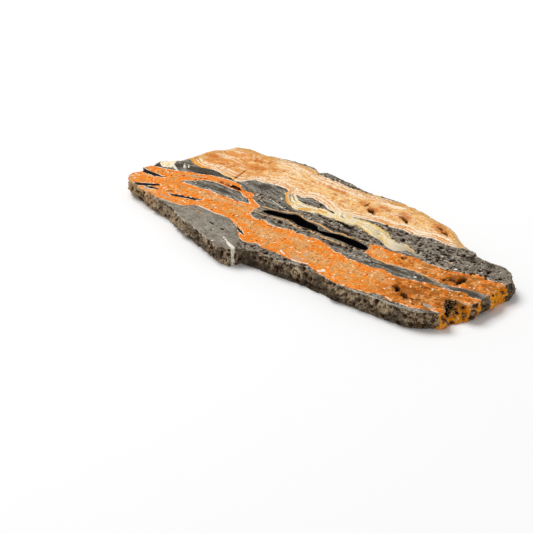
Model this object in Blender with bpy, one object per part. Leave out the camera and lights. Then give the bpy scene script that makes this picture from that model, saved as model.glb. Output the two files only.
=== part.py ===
"""One slab of bumblebee jasper: both faces sawn flat, the rim broken and left natural.

All sizes are in millimetres on the slab's own grid and become metres when the mesh is made.
X runs along the banding, Y runs from the front edge to the back edge, Z goes up from the
underside. The grid is shifted at the end so that the middle of the footprint is at the origin.
"""
import math
import random

import bmesh
import bpy
from mathutils import Vector, noise
from mathutils.geometry import delaunay_2d_cdt

MM = 0.001
THICKNESS = 8.0
FOOTPRINT_CENTRE = (-0.4, 6.1)

# How fine the solid is: the step along the rim, the rows down it, and the grid on the faces.
RIM_STEP = 1.6
RIM_ROWS = 7
CLEFT_STEP = 2.0
CLEFT_ROWS = 4
FACE_GRID = 8.0
CORNER_TRIM = 0.14
NORMAL_REACH = 4.0

# Rim relief: broad lumps, fracture facets as (size, height), a round nodule in the front rim,
# and how much of all this reaches the sawn edges.
LUMP_SIZE = 8.0
LUMP_HEIGHT = 1.5
FACET_LAYERS = [(7.0, 1.7), (3.6, 1.2)]
NODULE_MIDDLE = (11.0, -31.2, 4.0)
NODULE_RADIUS = 2.8
NODULE_HEIGHT = 1.2
EDGE_SHARE = 0.25

# The rim, clockwise from above. Each point is x, y, how far the bottom edge stands in from the
# top edge, and how far the middle of the rim bulges out.
BACK_EDGE = [
    (-78.0, 31.5, 1.5, 0.3), (-75.5, 38.0, 1.0, 0.4), (-73.5, 42.5, 1.5, 0.5), (-68.2, 46.4, 1.0, 0.5),
    (-66.0, 50.6, 2.0, 0.6), (-62.0, 52.0, 2.0, 0.6), (-56.5, 51.8, 1.5, 0.5), (-50.5, 50.1, 1.0, 0.4),
    (-45.0, 50.8, 1.0, 0.4), (-38.0, 51.4, 0.5, 0.6), (-30.0, 51.1, 0.5, 0.6), (-23.8, 49.8, 1.0, 0.5),
    (-20.4, 46.8, 0.5, 0.2), (-17.5, 48.8, 1.0, 0.5), (-13.5, 47.8, 1.5, 0.6), (-9.5, 46.2, 1.0, 0.6),
    (-3.0, 44.8, 1.0, 0.5), (2.0, 42.3, 1.5, 0.4), (9.5, 40.3, 1.5, 0.4), (19.0, 40.1, 1.0, 0.4),
    (27.0, 38.5, 1.0, 0.4), (36.0, 36.0, 1.5, 0.5), (43.0, 32.6, 1.5, 0.5), (50.3, 29.4, 1.0, 0.4),
    (54.0, 27.0, 1.0, 0.4), (58.2, 23.0, 1.5, 0.5), (62.5, 18.4, 1.5, 0.5), (65.5, 16.2, 1.0, 0.5),
    (69.6, 15.2, 0.5, 0.6), (70.6, 12.7, 0.5, 0.4), (77.0, 11.0, 1.0, 0.6), (84.0, 10.1, 1.5, 0.8),
]
RIGHT_END = [
    (88.0, 7.6, 1.5, 0.3), (90.6, 4.5, 1.0, 0.5), (91.0, 0.0, -0.5, 1.0), (90.0, -3.0, -0.6, 1.0),
    (88.7, -6.0, -0.4, 1.0), (89.0, -10.0, 0.8, 0.8), (88.4, -14.0, 2.6, 0.3), (86.4, -18.3, 1.6, 0.3),
    (86.3, -21.5, 1.2, 0.4), (84.3, -24.3, 0.6, 0.8),
]
FRONT_CORNER = [(80.8, -25.4, -1.3, 1.0), (79.0, -30.0, 0.2, 0.8), (78.2, -34.3, 0.6, 0.3)]
FRONT_EDGE = [
    (74.5, -36.4, 1.5, 0.4), (70.8, -38.6, 1.0, 0.5), (66.5, -39.9, 0.5, 0.5), (60.0, -39.6, 0.0, 0.4),
    (52.0, -38.1, 0.0, 0.4), (44.0, -37.6, 0.2, 0.3), (35.0, -36.4, 0.3, 0.3), (29.5, -35.4, 0.0, 0.4),
    (23.5, -32.8, -0.8, 0.5), (16.0, -30.5, -1.5, 0.4), (9.0, -30.2, -1.0, 0.4), (4.0, -31.1, 0.0, 0.3),
    (-3.0, -29.9, -0.5, 0.3), (-8.5, -28.6, -1.0, 0.2), (-13.8, -29.1, -0.2, -0.2), (-16.4, -29.4, 0.4, -0.3),
]
GREY_BLOCK = [
    (-17.4, -31.4, 0.2, 0.0), (-19.8, -33.5, -0.2, 0.2), (-25.0, -33.0, 0.8, 0.3), (-30.0, -31.0, 1.0, 0.3),
    (-36.0, -27.8, 1.0, 0.2), (-47.0, -22.0, 1.0, 0.2), (-56.0, -17.0, 0.9, 0.2), (-61.4, -13.3, 0.6, 0.2),
    (-66.0, -11.4, 0.6, -0.2), (-72.0, -9.0, 0.8, -0.2), (-75.5, -7.0, 0.5, 0.1), (-81.6, -6.5, 1.8, 0.0),
]
LEFT_END = [
    (-85.2, -3.4, 1.8, 0.0), (-90.2, -1.8, 2.6, 0.2), (-91.9, -0.2, 3.0, 0.2), (-93.0, 2.0, 3.2, 0.3),
    (-92.9, 4.9, 3.2, 0.3), (-90.4, 8.0, 3.0, -0.2), (-90.2, 9.3, 3.0, -0.2), (-92.0, 11.3, 3.2, 0.2),
    (-90.8, 14.4, 3.0, 0.3), (-88.9, 16.2, 3.0, 0.2), (-88.7, 19.5, 3.0, 0.3), (-86.5, 23.3, 2.5, 0.2),
    (-84.8, 22.4, 2.5, 0.0), (-83.6, 24.2, 2.0, 0.0), (-80.2, 26.4, 1.5, 0.0),
]
RIM_OUTLINE = BACK_EDGE + RIGHT_END + FRONT_CORNER + FRONT_EDGE + GREY_BLOCK + LEFT_END

# Bites out of the rim: where on the outline x, y, z, radius, depth.
RIM_BITES = [
    (79.0, -28.5, 6.5, 5.0, 5.5),
    (82.4, -24.9, 5.0, 2.4, 2.6),
    (89.6, -4.0, 6.0, 1.6, 1.6),
    (88.8, -8.0, 3.0, 2.0, 1.3),
    (-83.0, -5.4, 4.4, 4.2, 1.6),
]

# The open cleft that runs along the banding, right through the slab.
CLEFT_BACK_SIDE = [
    (-24.0, 4.0), (-22.0, 5.1), (-15.0, 5.4), (-12.4, 6.2), (-10.0, 7.3), (-7.6, 6.2), (-4.6, 4.7),
    (0.0, 3.4), (2.7, 2.6), (3.5, 0.9), (4.8, -0.3), (8.0, 0.0), (13.0, 0.6), (17.5, 0.0),
    (23.3, -0.9), (28.0, -3.3), (29.4, -5.2),
]
CLEFT_FRONT_SIDE = [
    (25.0, -4.8), (17.5, -3.5), (12.5, -3.2), (9.2, -3.3), (6.7, -2.3), (3.4, -1.6), (-5.0, -0.8),
    (-7.0, 0.3), (-9.6, 1.8), (-13.3, 1.8), (-21.3, 1.6), (-24.3, 2.6),
]
CLEFT_OUTLINE = CLEFT_BACK_SIDE + CLEFT_FRONT_SIDE
CLEFT_UNDERCUT = 1.1

# Hollows in the sawn faces: x, y, length, width, turn in degrees, depth.
TOP_VUGS = [
    (-49.0, 16.4, 12.5, 2.0, -13.0, 1.8),
    (-58.5, -2.4, 6.0, 1.6, -8.0, 0.9),
    (16.0, 26.4, 4.8, 2.8, -42.0, 2.8),
    (32.0, 26.3, 5.4, 2.2, -38.0, 2.0),
    (11.9, 30.0, 3.2, 1.2, 88.0, 1.4),
    (48.2, 26.8, 3.6, 1.6, -25.0, 1.6),
    (52.0, 23.9, 4.4, 1.8, -45.0, 1.8),
    (54.0, -26.2, 5.4, 2.3, -56.0, 2.6),
    (58.8, -29.8, 4.8, 2.2, -50.0, 2.6),
    (63.2, -30.6, 5.0, 1.1, 14.0, 1.2),
    (64.2, -20.6, 7.0, 1.3, 0.0, 1.0),
    (73.0, -8.3, 8.4, 3.0, 82.0, 3.2),
    (67.5, -11.4, 2.0, 1.5, 20.0, 1.4),
    (45.8, -3.5, 2.2, 1.6, 40.0, 1.2),
]
UNDERSIDE_VUGS = [
    (-46.0, 14.5, 9.0, 2.0, -12.0, 1.6),
    (20.0, 24.0, 5.0, 2.6, 35.0, 2.2),
    (44.0, 28.0, 4.2, 2.0, 20.0, 1.8),
    (60.0, -22.0, 6.0, 2.2, 25.0, 2.0),
    (70.0, -5.0, 5.0, 2.6, 75.0, 2.2),
    (-30.0, -20.0, 4.0, 1.6, 10.0, 1.2),
]

# Gas bubbles cut open by the saw, scattered over the dark rock: middle x, y, half length, half width.
BUBBLE_FIELDS = [(57.0, 8.5, 14.0, 6.0), (3.0, 7.5, 20.0, 3.0), (-33.0, 20.0, 8.0, 5.0), (8.0, -28.6, 18.0, 1.2)]
BUBBLES_PER_FIELD = 9
BUBBLE_DIAMETERS = (1.2, 2.0)
BUBBLE_DEPTH = 0.6

STONE_COLOUR = (0.46, 0.24, 0.11, 1.0)
STONE_ROUGHNESS = 0.55


def clear_scene():
    """Start from an empty scene."""
    for item in list(bpy.data.objects):
        bpy.data.objects.remove(item, do_unlink=True)


def mix(first, second, share):
    """The point that lies the given share of the way from first to second."""
    return tuple(a + (b - a) * share for a, b in zip(first, second))


def trim_corners(outline, share):
    """A closed outline with every corner cut back a little on both sides."""
    trimmed = []
    for index, corner in enumerate(outline):
        following = outline[(index + 1) % len(outline)]
        trimmed.append(mix(corner, outline[index - 1], share))
        trimmed.append(mix(corner, following, share))
    return trimmed


def even_steps(outline, step):
    """Points about one step apart along a closed outline; values past x and y are carried along."""
    lengths = [math.dist(a[:2], b[:2]) for a, b in zip(outline, outline[1:] + outline[:1])]
    count = round(sum(lengths) / step)
    spacing = sum(lengths) / count
    placed, segment, start = [], 0, 0.0
    for number in range(count):
        wanted = number * spacing
        while wanted > start + lengths[segment]:
            start += lengths[segment]
            segment += 1
        following = outline[(segment + 1) % len(outline)]
        placed.append(mix(outline[segment], following, (wanted - start) / lengths[segment]))
    return placed


def outward_normals(loop, step):
    """Unit normals that point out of a clockwise loop, evened out over a few millimetres."""
    reach = max(1, round(NORMAL_REACH / step))
    normals = []
    for index in range(len(loop)):
        ahead = loop[(index + reach) % len(loop)]
        behind = loop[index - reach]
        normals.append(Vector((behind[1] - ahead[1], ahead[0] - behind[0])).normalized())
    return normals


def fracture_facet(place):
    """Tilted flat facets, as a blow leaves them: each cell of a cell pattern is a plane of its own."""
    cell = noise.voronoi(place)[1][0]
    return (place - cell).dot(noise.cell_vector(cell * 7.3) - Vector((0.5, 0.5, 0.5)))


def rim_relief(x, y, z):
    """How far the broken rim stands out here, in millimetres."""
    place = Vector((x, y, z))
    out = LUMP_HEIGHT * noise.fractal(place / LUMP_SIZE, 0.9, 2.1, 3)
    for size, height in FACET_LAYERS:
        out += height * fracture_facet(place / size)
    from_nodule = (place - Vector(NODULE_MIDDLE)).length / NODULE_RADIUS
    if from_nodule < 1.0:
        out += NODULE_HEIGHT * math.sqrt(1.0 - from_nodule ** 2)
    return out


def bite_depth(x, y, z):
    """How far the bites cut into the rim here."""
    deepest = 0.0
    for bite_x, bite_y, bite_z, radius, depth in RIM_BITES:
        away = math.dist((x, y, z), (bite_x, bite_y, bite_z)) / radius
        deepest = max(deepest, depth * (1.0 - away ** 2))
    return deepest


def rim_ring(loop, normals, depth_share):
    """One ring of points round the rim, depth_share of the way down from the top face."""
    z = THICKNESS * (1.0 - depth_share)
    belly = math.sin(math.pi * depth_share)
    relief_share = EDGE_SHARE + (1.0 - EDGE_SHARE) * belly
    ring = []
    for (x, y, undercut, bulge), normal in zip(loop, normals):
        out = bulge * belly ** 2 - undercut * depth_share ** 3
        out += relief_share * rim_relief(x, y, z) - bite_depth(x, y, z)
        ring.append((x + normal.x * out, y + normal.y * out, z))
    return ring


def cleft_ring(loop, normals, depth_share):
    """One ring of points round the cleft's wall, which opens out under the top face."""
    z = THICKNESS * (1.0 - depth_share)
    belly = math.sin(math.pi * depth_share)
    ring = []
    for (x, y), normal in zip(loop, normals):
        into_stone = belly * (CLEFT_UNDERCUT + 0.5 * rim_relief(x, y, z))
        ring.append((x + normal.x * into_stone, y + normal.y * into_stone, z))
    return ring


def inside(x, y, outline):
    """Whether a place lies inside a closed outline."""
    crossings = 0
    for a, b in zip(outline, outline[1:] + outline[:1]):
        if (a[1] > y) != (b[1] > y) and x < a[0] + (y - a[1]) / (b[1] - a[1]) * (b[0] - a[0]):
            crossings += 1
    return crossings % 2 == 1


def clear_of(x, y, loops, gap):
    """Whether a place keeps a gap to every point of the loops."""
    return all(math.hypot(x - point[0], y - point[1]) > gap for loop in loops for point in loop)


def bubbles(seed, loops):
    """Small round hollows scattered over the dark bands, clear of the edges and of each other."""
    chance = random.Random(seed)
    found = []
    for middle_x, middle_y, half_length, half_width in BUBBLE_FIELDS:
        for _ in range(BUBBLES_PER_FIELD):
            x = middle_x + chance.uniform(-half_length, half_length)
            y = middle_y + chance.uniform(-half_width, half_width)
            across = chance.uniform(*BUBBLE_DIAMETERS)
            if clear_of(x, y, loops, 2.0) and clear_of(x, y, [found], 2.8):
                found.append((x, y, across * 1.3, across, chance.uniform(0.0, 180.0), BUBBLE_DEPTH))
    return found


def hollow_rings(vug):
    """Rings of points over one hollow, as (x, y, depth): a level lip, one half way down, the floor."""
    x, y, length, width, turn, depth = vug
    turn = math.radians(turn)
    corners = 6 if depth <= BUBBLE_DEPTH else 12
    rings = []
    for size, share in ((1.0, 0.0), (0.78, 0.75), (0.36, 1.0)):
        ring = []
        for number in range(corners):
            angle = math.tau * number / corners
            along = 0.5 * length * size * math.cos(angle)
            across = 0.5 * width * size * math.sin(angle)
            ring.append((
                x + along * math.cos(turn) - across * math.sin(turn),
                y + along * math.sin(turn) + across * math.cos(turn),
                depth * share,
            ))
        rings.append(ring)
    return rings


def loose_grid(loops, rings):
    """Points at face height, spread over what the rim, the cleft and the hollows leave free."""
    points = []
    columns = int(100.0 / FACE_GRID)
    for row in range(-columns, columns + 1):
        for column in range(-columns, columns + 1):
            x = (column + 0.5 * (row % 2)) * FACE_GRID
            y = row * FACE_GRID * 0.87
            on_stone = inside(x, y, loops[0]) and not inside(x, y, loops[1])
            if on_stone and clear_of(x, y, loops + rings, 3.0):
                points.append((x, y))
    return points


def fill_face(mesh, rim_verts, cleft_verts, vugs, z, depth_sign):
    """Triangles over one sawn face, between the rim, the cleft and the hollows."""
    borders = [rim_verts, cleft_verts]
    rings = [ring for vug in vugs for ring in hollow_rings(vug)]
    grid = loose_grid([[vert.co for vert in border] for border in borders], rings)
    for ring in rings:
        borders.append([mesh.verts.new((x, y, z - depth_sign * depth)) for x, y, depth in ring])
    verts, edges = [], []
    for border in borders:
        first = len(verts)
        verts += border
        edges += [(first + n, first + (n + 1) % len(border)) for n in range(len(border))]
    verts += [mesh.verts.new((x, y, z)) for x, y in grid]
    flat = [Vector((vert.co.x, vert.co.y)) for vert in verts]
    placed, _, triangles, _, _, _ = delaunay_2d_cdt(flat, edges, [], 1, 0.0001)
    if len(placed) != len(flat):
        raise ValueError("an outline of the face crosses itself")
    cleft = [tuple(vert.co) for vert in cleft_verts]
    for triangle in triangles:
        middle = sum((flat[n] for n in triangle), Vector((0.0, 0.0))) / 3.0
        if not inside(middle.x, middle.y, cleft):
            mesh.faces.new([verts[n] for n in triangle])


def wall(mesh, rings):
    """Faces between rings that lie one under another; returns the rings' vertices."""
    rows = [[mesh.verts.new(point) for point in ring] for ring in rings]
    for upper, lower in zip(rows, rows[1:]):
        for n in range(len(upper)):
            after = (n + 1) % len(upper)
            mesh.faces.new((upper[n], lower[n], lower[after], upper[after]))
    return rows


def build_slab():
    """The slab as one closed solid."""
    rim_loop = even_steps(trim_corners(RIM_OUTLINE, CORNER_TRIM), RIM_STEP)
    cleft_loop = even_steps(trim_corners(CLEFT_OUTLINE, CORNER_TRIM), CLEFT_STEP)
    rim_normals = outward_normals(rim_loop, RIM_STEP)
    cleft_normals = outward_normals(cleft_loop, CLEFT_STEP * 2.0)
    rim_rings = [rim_ring(rim_loop, rim_normals, row / RIM_ROWS) for row in range(RIM_ROWS + 1)]
    cleft_rings = [cleft_ring(cleft_loop, cleft_normals, row / CLEFT_ROWS) for row in range(CLEFT_ROWS + 1)]

    mesh = bmesh.new()
    rim_rows = wall(mesh, rim_rings)
    cleft_rows = wall(mesh, cleft_rings)
    for vugs, row, z, depth_sign, seed in (
        (TOP_VUGS, 0, THICKNESS, 1.0, 11),
        (UNDERSIDE_VUGS, -1, 0.0, -1.0, 12),
    ):
        keep_off = [rim_rings[row], cleft_rings[row]] + [ring for vug in vugs for ring in hollow_rings(vug)]
        hollows = vugs + bubbles(seed, keep_off)
        fill_face(mesh, rim_rows[row], cleft_rows[row], hollows, z, depth_sign)

    bmesh.ops.recalc_face_normals(mesh, faces=mesh.faces)
    bmesh.ops.triangulate(mesh, faces=mesh.faces)
    bmesh.ops.translate(mesh, verts=mesh.verts, vec=(-FOOTPRINT_CENTRE[0], -FOOTPRINT_CENTRE[1], 0.0))
    bmesh.ops.scale(mesh, verts=mesh.verts, vec=(MM, MM, MM))
    data = bpy.data.meshes.new("slab")
    mesh.to_mesh(data)
    mesh.free()
    return data


def stone_material():
    """Banded orange, cream and grey stone, as one average colour."""
    material = bpy.data.materials.new("banded_stone")
    material.use_nodes = True
    shader = material.node_tree.nodes["Principled BSDF"]
    shader.inputs["Base Color"].default_value = STONE_COLOUR
    shader.inputs["Roughness"].default_value = STONE_ROUGHNESS
    shader.inputs["Metallic"].default_value = 0.0
    return material


def main():
    clear_scene()
    slab = bpy.data.objects.new("slab", build_slab())
    slab.data.materials.append(stone_material())
    bpy.context.collection.objects.link(slab)


main()
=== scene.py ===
"""Looks of one bumblebee jasper slab: fine stone mesh, banded stone material, floor, light, camera.

Lengths are in millimetres on the slab's own grid: X along the banding, Y from the front edge to the
back edge, Z up from the underside. Meshes become metres when they are made.
"""
import math

import bmesh
import bpy
import numpy as np
from mathutils import Matrix, Vector, noise
from mathutils.geometry import delaunay_2d_cdt


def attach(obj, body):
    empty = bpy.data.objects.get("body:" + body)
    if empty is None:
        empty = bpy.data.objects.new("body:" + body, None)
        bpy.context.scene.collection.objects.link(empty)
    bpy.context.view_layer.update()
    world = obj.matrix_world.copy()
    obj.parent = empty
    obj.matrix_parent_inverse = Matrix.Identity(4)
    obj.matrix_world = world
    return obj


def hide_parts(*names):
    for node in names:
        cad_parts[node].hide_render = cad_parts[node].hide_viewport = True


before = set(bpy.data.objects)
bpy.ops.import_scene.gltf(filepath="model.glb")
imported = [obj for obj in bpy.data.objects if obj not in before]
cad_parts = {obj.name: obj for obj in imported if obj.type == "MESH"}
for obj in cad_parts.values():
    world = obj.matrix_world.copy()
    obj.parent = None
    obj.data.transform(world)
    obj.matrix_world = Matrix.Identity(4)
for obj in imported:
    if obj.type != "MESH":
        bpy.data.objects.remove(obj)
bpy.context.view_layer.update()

MM = 0.001
THICKNESS = 8.0
FOOTPRINT_CENTRE = (-0.4, 6.1)

# Fineness of the mesh.
RIM_STEP = 0.52
RIM_ROWS = 16
CLEFT_STEP = 0.6
TOP_GRID = 0.5
UNDERSIDE_GRID = 1.5
GRID_X = (-95.0, 96.0)
GRID_Y = (-42.0, 54.0)
GRID_ROW_SHARE = 0.866
GRID_JITTER = 0.35
GRID_CLEARANCE = 1.2
CORNER_TRIM = 0.14
NORMAL_REACH = 4.0

# Rim relief, as in the solid: broad lumps, fracture facets as (size, height) and one round nodule.
LUMP_SIZE = 8.0
LUMP_HEIGHT = 1.5
FACET_LAYERS = [(7.0, 1.7), (3.6, 1.2)]
NODULE_MIDDLE = (11.0, -31.2, 4.0)
NODULE_RADIUS = 2.8
NODULE_HEIGHT = 1.2
EDGE_SHARE = 0.25

# The rim, clockwise from above. Each point is x, y, how far the bottom edge stands in from the
# top edge, and how far the middle of the rim bulges out.
BACK_EDGE = [
    (-78, 31.5, 1.5, 0.3), (-75.5, 38, 1, 0.4), (-73.5, 42.5, 1.5, 0.5), (-68.2, 46.4, 1, 0.5),
    (-66, 50.6, 2, 0.6), (-62, 52, 2, 0.6), (-56.5, 51.8, 1.5, 0.5), (-50.5, 50.1, 1, 0.4),
    (-45, 50.8, 1, 0.4), (-38, 51.4, 0.5, 0.6), (-30, 51.1, 0.5, 0.6), (-23.8, 49.8, 1, 0.5),
    (-20.4, 46.8, 0.5, 0.2), (-17.5, 48.8, 1, 0.5), (-13.5, 47.8, 1.5, 0.6), (-9.5, 46.2, 1, 0.6),
    (-3, 44.8, 1, 0.5), (2, 42.3, 1.5, 0.4), (9.5, 40.3, 1.5, 0.4), (19, 40.1, 1, 0.4),
    (27, 38.5, 1, 0.4), (36, 36, 1.5, 0.5), (43, 32.6, 1.5, 0.5), (50.3, 29.4, 1, 0.4), (54, 27, 1, 0.4),
    (58.2, 23, 1.5, 0.5), (62.5, 18.4, 1.5, 0.5), (65.5, 16.2, 1, 0.5), (69.6, 15.2, 0.5, 0.6),
    (70.6, 12.7, 0.5, 0.4), (77, 11, 1, 0.6), (84, 10.1, 1.5, 0.8),
]
RIGHT_END = [
    (88, 7.6, 1.5, 0.3), (90.6, 4.5, 1, 0.5), (91, 0, -0.5, 1), (90, -3, -0.6, 1), (88.7, -6, -0.4, 1),
    (89, -10, 0.8, 0.8), (88.4, -14, 2.6, 0.3), (86.4, -18.3, 1.6, 0.3), (86.3, -21.5, 1.2, 0.4),
    (84.3, -24.3, 0.6, 0.8),
]
FRONT_CORNER = [(80.8, -25.4, -1.3, 1), (79, -30, 0.2, 0.8), (78.2, -34.3, 0.6, 0.3)]
FRONT_EDGE = [
    (74.5, -36.4, 1.5, 0.4), (70.8, -38.6, 1, 0.5), (66.5, -39.9, 0.5, 0.5), (60, -39.6, 0, 0.4),
    (52, -38.1, 0, 0.4), (44, -37.6, 0.2, 0.3), (35, -36.4, 0.3, 0.3), (29.5, -35.4, 0, 0.4),
    (23.5, -32.8, -0.8, 0.5), (16, -30.5, -1.5, 0.4), (9, -30.2, -1, 0.4), (4, -31.1, 0, 0.3),
    (-3, -29.9, -0.5, 0.3), (-8.5, -28.6, -1, 0.2), (-13.8, -29.1, -0.2, -0.2), (-16.4, -29.4, 0.4, -0.3),
]
GREY_BLOCK = [
    (-17.4, -31.4, 0.2, 0), (-19.8, -33.5, -0.2, 0.2), (-25, -33, 0.8, 0.3), (-30, -31, 1, 0.3),
    (-36, -27.8, 1, 0.2), (-47, -22, 1, 0.2), (-56, -17, 0.9, 0.2), (-61.4, -13.3, 0.6, 0.2),
    (-66, -11.4, 0.6, -0.2), (-72, -9, 0.8, -0.2), (-75.5, -7, 0.5, 0.1), (-81.6, -6.5, 1.8, 0),
]
LEFT_END = [
    (-85.2, -3.4, 1.8, 0), (-90.2, -1.8, 2.6, 0.2), (-91.9, -0.2, 3, 0.2), (-93, 2, 3.2, 0.3),
    (-92.9, 4.9, 3.2, 0.3), (-90.4, 8, 3, -0.2), (-90.2, 9.3, 3, -0.2), (-92, 11.3, 3.2, 0.2),
    (-90.8, 14.4, 3, 0.3), (-88.9, 16.2, 3, 0.2), (-88.7, 19.5, 3, 0.3), (-86.5, 23.3, 2.5, 0.2),
    (-84.8, 22.4, 2.5, 0), (-83.6, 24.2, 2, 0), (-80.2, 26.4, 1.5, 0),
]
RIM_OUTLINE = BACK_EDGE + RIGHT_END + FRONT_CORNER + FRONT_EDGE + GREY_BLOCK + LEFT_END

# Bites out of the rim: where on the outline x, y, z, radius, depth.
RIM_BITES = [
    (79, -28.5, 6.5, 5, 5.5),
    (82.4, -24.9, 5, 2.4, 2.6),
    (89.6, -4, 6, 1.6, 1.6),
    (88.8, -8, 3, 2, 1.3),
    (-82, -6, 3.4, 3.8, 2),
    (-38.6, -26.4, 4.4, 1.5, 1.3),
]

# The open cleft that runs along the banding, right through the slab.
CLEFT_BACK_SIDE = [
    (-24, 4), (-22, 5.1), (-15, 5.4), (-12.4, 6.2), (-10, 7.3), (-7.6, 6.2), (-4.6, 4.7), (0, 3.4),
    (2.7, 2.6), (3.5, 0.9), (4.8, -0.3), (8, 0), (13, 0.6), (17.5, 0.2), (23.3, -0.5), (28.4, -2.4),
    (30, -4), (29.6, -5.9),
]
CLEFT_FRONT_SIDE = [
    (26.4, -5.9), (22, -5), (17.5, -3.9), (12.5, -3.2), (9.2, -3.3), (6.7, -2.3), (3.4, -1.6), (-5, -0.8),
    (-7, 0.3), (-9.6, 1.8), (-13.3, 1.8), (-21.3, 1.6), (-24.3, 2.6),
]
CLEFT_OUTLINE = CLEFT_BACK_SIDE + CLEFT_FRONT_SIDE
CLEFT_UNDERCUT = 1.1

# Hollows in the sawn faces: x, y, length, width, turn in degrees, depth.
TOP_VUGS = [
    (-49, 16.4, 12.5, 2, -13, 1.8),
    (-58.5, -2.4, 6, 1.6, -8, 0.9),
    (16, 26.4, 4.8, 2.8, -42, 2.8),
    (32, 26.3, 5.4, 2.2, -38, 2),
    (11.9, 30, 3.2, 1.2, 88, 1.4),
    (48.2, 26.8, 3.6, 1.6, -25, 1.6),
    (52, 23.9, 4.4, 1.8, -45, 1.8),
    (54, -26.2, 5.4, 2.3, -56, 2.6),
    (58.8, -29.8, 4.8, 2.2, -50, 2.6),
    (63.2, -30.6, 5, 1.1, 14, 1.2),
    (64.2, -20.6, 7, 1.3, 0, 1),
    (73.6, -8.6, 8.4, 2.6, 78, 3.2),
    (70.6, -9.2, 6, 2.4, 8, 1.3),
    (67.5, -11.4, 2, 1.5, 20, 1.4),
    (45.8, -3.5, 2.2, 1.6, 40, 1.2),
]
UNDERSIDE_VUGS = [
    (-46, 14.5, 9, 2, -12, 1.6),
    (20, 24, 5, 2.6, 35, 2.2),
    (44, 28, 4.2, 2, 20, 1.8),
    (60, -22, 6, 2.2, 25, 2),
    (70, -5, 5, 2.6, 75, 2.2),
    (-30, -20, 4, 1.6, 10, 1.2),
]

# The bands of the stone, as closed outlines on the top face; they run past the rim.
CREAM_LOWER_EDGE = [
    (-84, 33), (-78, 31.4), (-76, 29), (-73.5, 26.6), (-69, 25.4), (-63, 25.8), (-59.8, 25),
    (-56.4, 23.5), (-51, 22.3), (-49, 21.4), (-46.4, 21.8), (-44.8, 24), (-43, 25.6), (-40.6, 26.6),
    (-37.5, 25.8), (-31.7, 26.9), (-25.8, 26), (-24.6, 25.4), (-23.5, 23.3), (-24.6, 22.2), (-22.5, 20),
    (-20.8, 17.5), (-19.2, 15), (-17, 13.5), (-15, 12), (-12.5, 10.8), (-10.8, 11.7), (-5, 12),
    (-2.5, 13), (-0.8, 12.3), (3.3, 11.7), (5.4, 12), (7.5, 11.2), (15.4, 10.2), (16.3, 11.4),
    (19.6, 10.3), (23.3, 7.8), (25.8, 6.6), (30.8, 5), (32.5, 3.3), (36.3, 0.8), (40, -0.3), (41.7, 0.8),
    (44.8, 2.6), (46.7, 1.8), (49.5, 0.2),
]
CREAM_UPPER_RETURN = [
    (50.5, 1.2), (48, 3.5), (45.8, 4.7), (43.8, 6.5), (41.7, 7.4), (38.3, 7), (33.8, 9), (32, 10.8),
    (30.8, 12.2), (26.3, 14), (24.2, 15.3), (21.3, 16.4), (15, 17), (10.2, 17.5), (15, 18), (23.3, 18.5),
    (28.8, 17.4), (35, 17.8), (40, 16), (43.3, 16.2), (49.2, 17.2), (53.8, 16), (55.8, 15), (60.8, 15),
    (64, 16), (72, 16.5), (72, 62), (-84, 62),
]
CREAM_BAND = CREAM_LOWER_EDGE + CREAM_UPPER_RETURN
DARK_EYE = [
    (-19.4, 23.3), (-17.5, 22.7), (-15.8, 22), (-13.3, 23.5), (-11.7, 23.8), (-8.3, 23), (-6.7, 21.9),
    (-4.6, 21.2), (-1.9, 19.2), (-0.6, 18), (1.7, 17), (3.6, 15.9), (1.7, 16.3), (-0.8, 17.4),
    (-2.5, 17.7), (-4.6, 17.3), (-10.8, 17.5), (-13.3, 18.1), (-16, 19.4), (-17.5, 20.8),
]
MAIN_ORANGE_TOP = [
    (-99, 15.2), (-88.5, 15.4), (-83.5, 16), (-75, 17), (-72.7, 18), (-70, 18.7), (-66.8, 18.9),
    (-64.3, 19.5), (-62.7, 20.4), (-56, 20.8), (-47.7, 20.4), (-44.3, 18.5), (-42.7, 16.4), (-40.6, 15.2),
    (-35.6, 15), (-34.6, 11.7), (-33.3, 10.2), (-30, 7.6), (-27.6, 6.4), (-28, 3.6), (-28.4, 1),
    (-28.2, -1.5), (-26.4, -3.2), (-25.1, -4.3), (-22.8, -4.7), (-20, -3.8), (-18, -4.6), (-16.7, -5.8),
    (-10.8, -6.5), (-5.4, -5.6), (-1.3, -6.9), (4.6, -7), (10.4, -7.9), (14.2, -9.8), (16.3, -11.3),
    (19.6, -13.3), (21.3, -12.9), (25.8, -15.2), (32.5, -16), (38.8, -17), (40, -16), (43.3, -15.9),
    (48.3, -18.3), (51.3, -18.8), (55, -17.9), (60, -17.7), (61.3, -16.9), (67, -17), (73.5, -17.8),
    (76, -17), (78, -15.8), (80, -17), (82.5, -18.5), (86.3, -18.3), (99, -19),
]
MAIN_ORANGE_RETURN = [
    (99, -48), (80, -48), (78.2, -38), (76.9, -34.8), (70, -35.8), (65, -37.2), (59.2, -36.3),
    (55, -36.9), (52.5, -35.4), (50.4, -34.2), (48.3, -34), (45, -35.6), (42, -35.4), (38.3, -35.8),
    (30, -35), (25.4, -33.1), (20, -31), (17, -29.3), (14.2, -28.1), (7, -27.9), (0, -26), (-9.6, -24.4),
    (-11.3, -23.1), (-13, -22.7), (-15, -24), (-18, -24.2), (-20, -22.9), (-22, -21.3), (-23.3, -19.2),
    (-25.4, -16.7), (-27, -14.2), (-29.2, -12.9), (-31.7, -11), (-33.8, -9.8), (-36.7, -9.2),
    (-41.8, -8.9), (-46, -7.8), (-49, -6.9), (-51.8, -6.9), (-54, -7.8), (-56.8, -9.8), (-60.6, -10),
    (-65, -9.6), (-71.4, -8.8), (-74, -12), (-99, -14),
]
MAIN_ORANGE = MAIN_ORANGE_TOP + MAIN_ORANGE_RETURN
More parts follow.
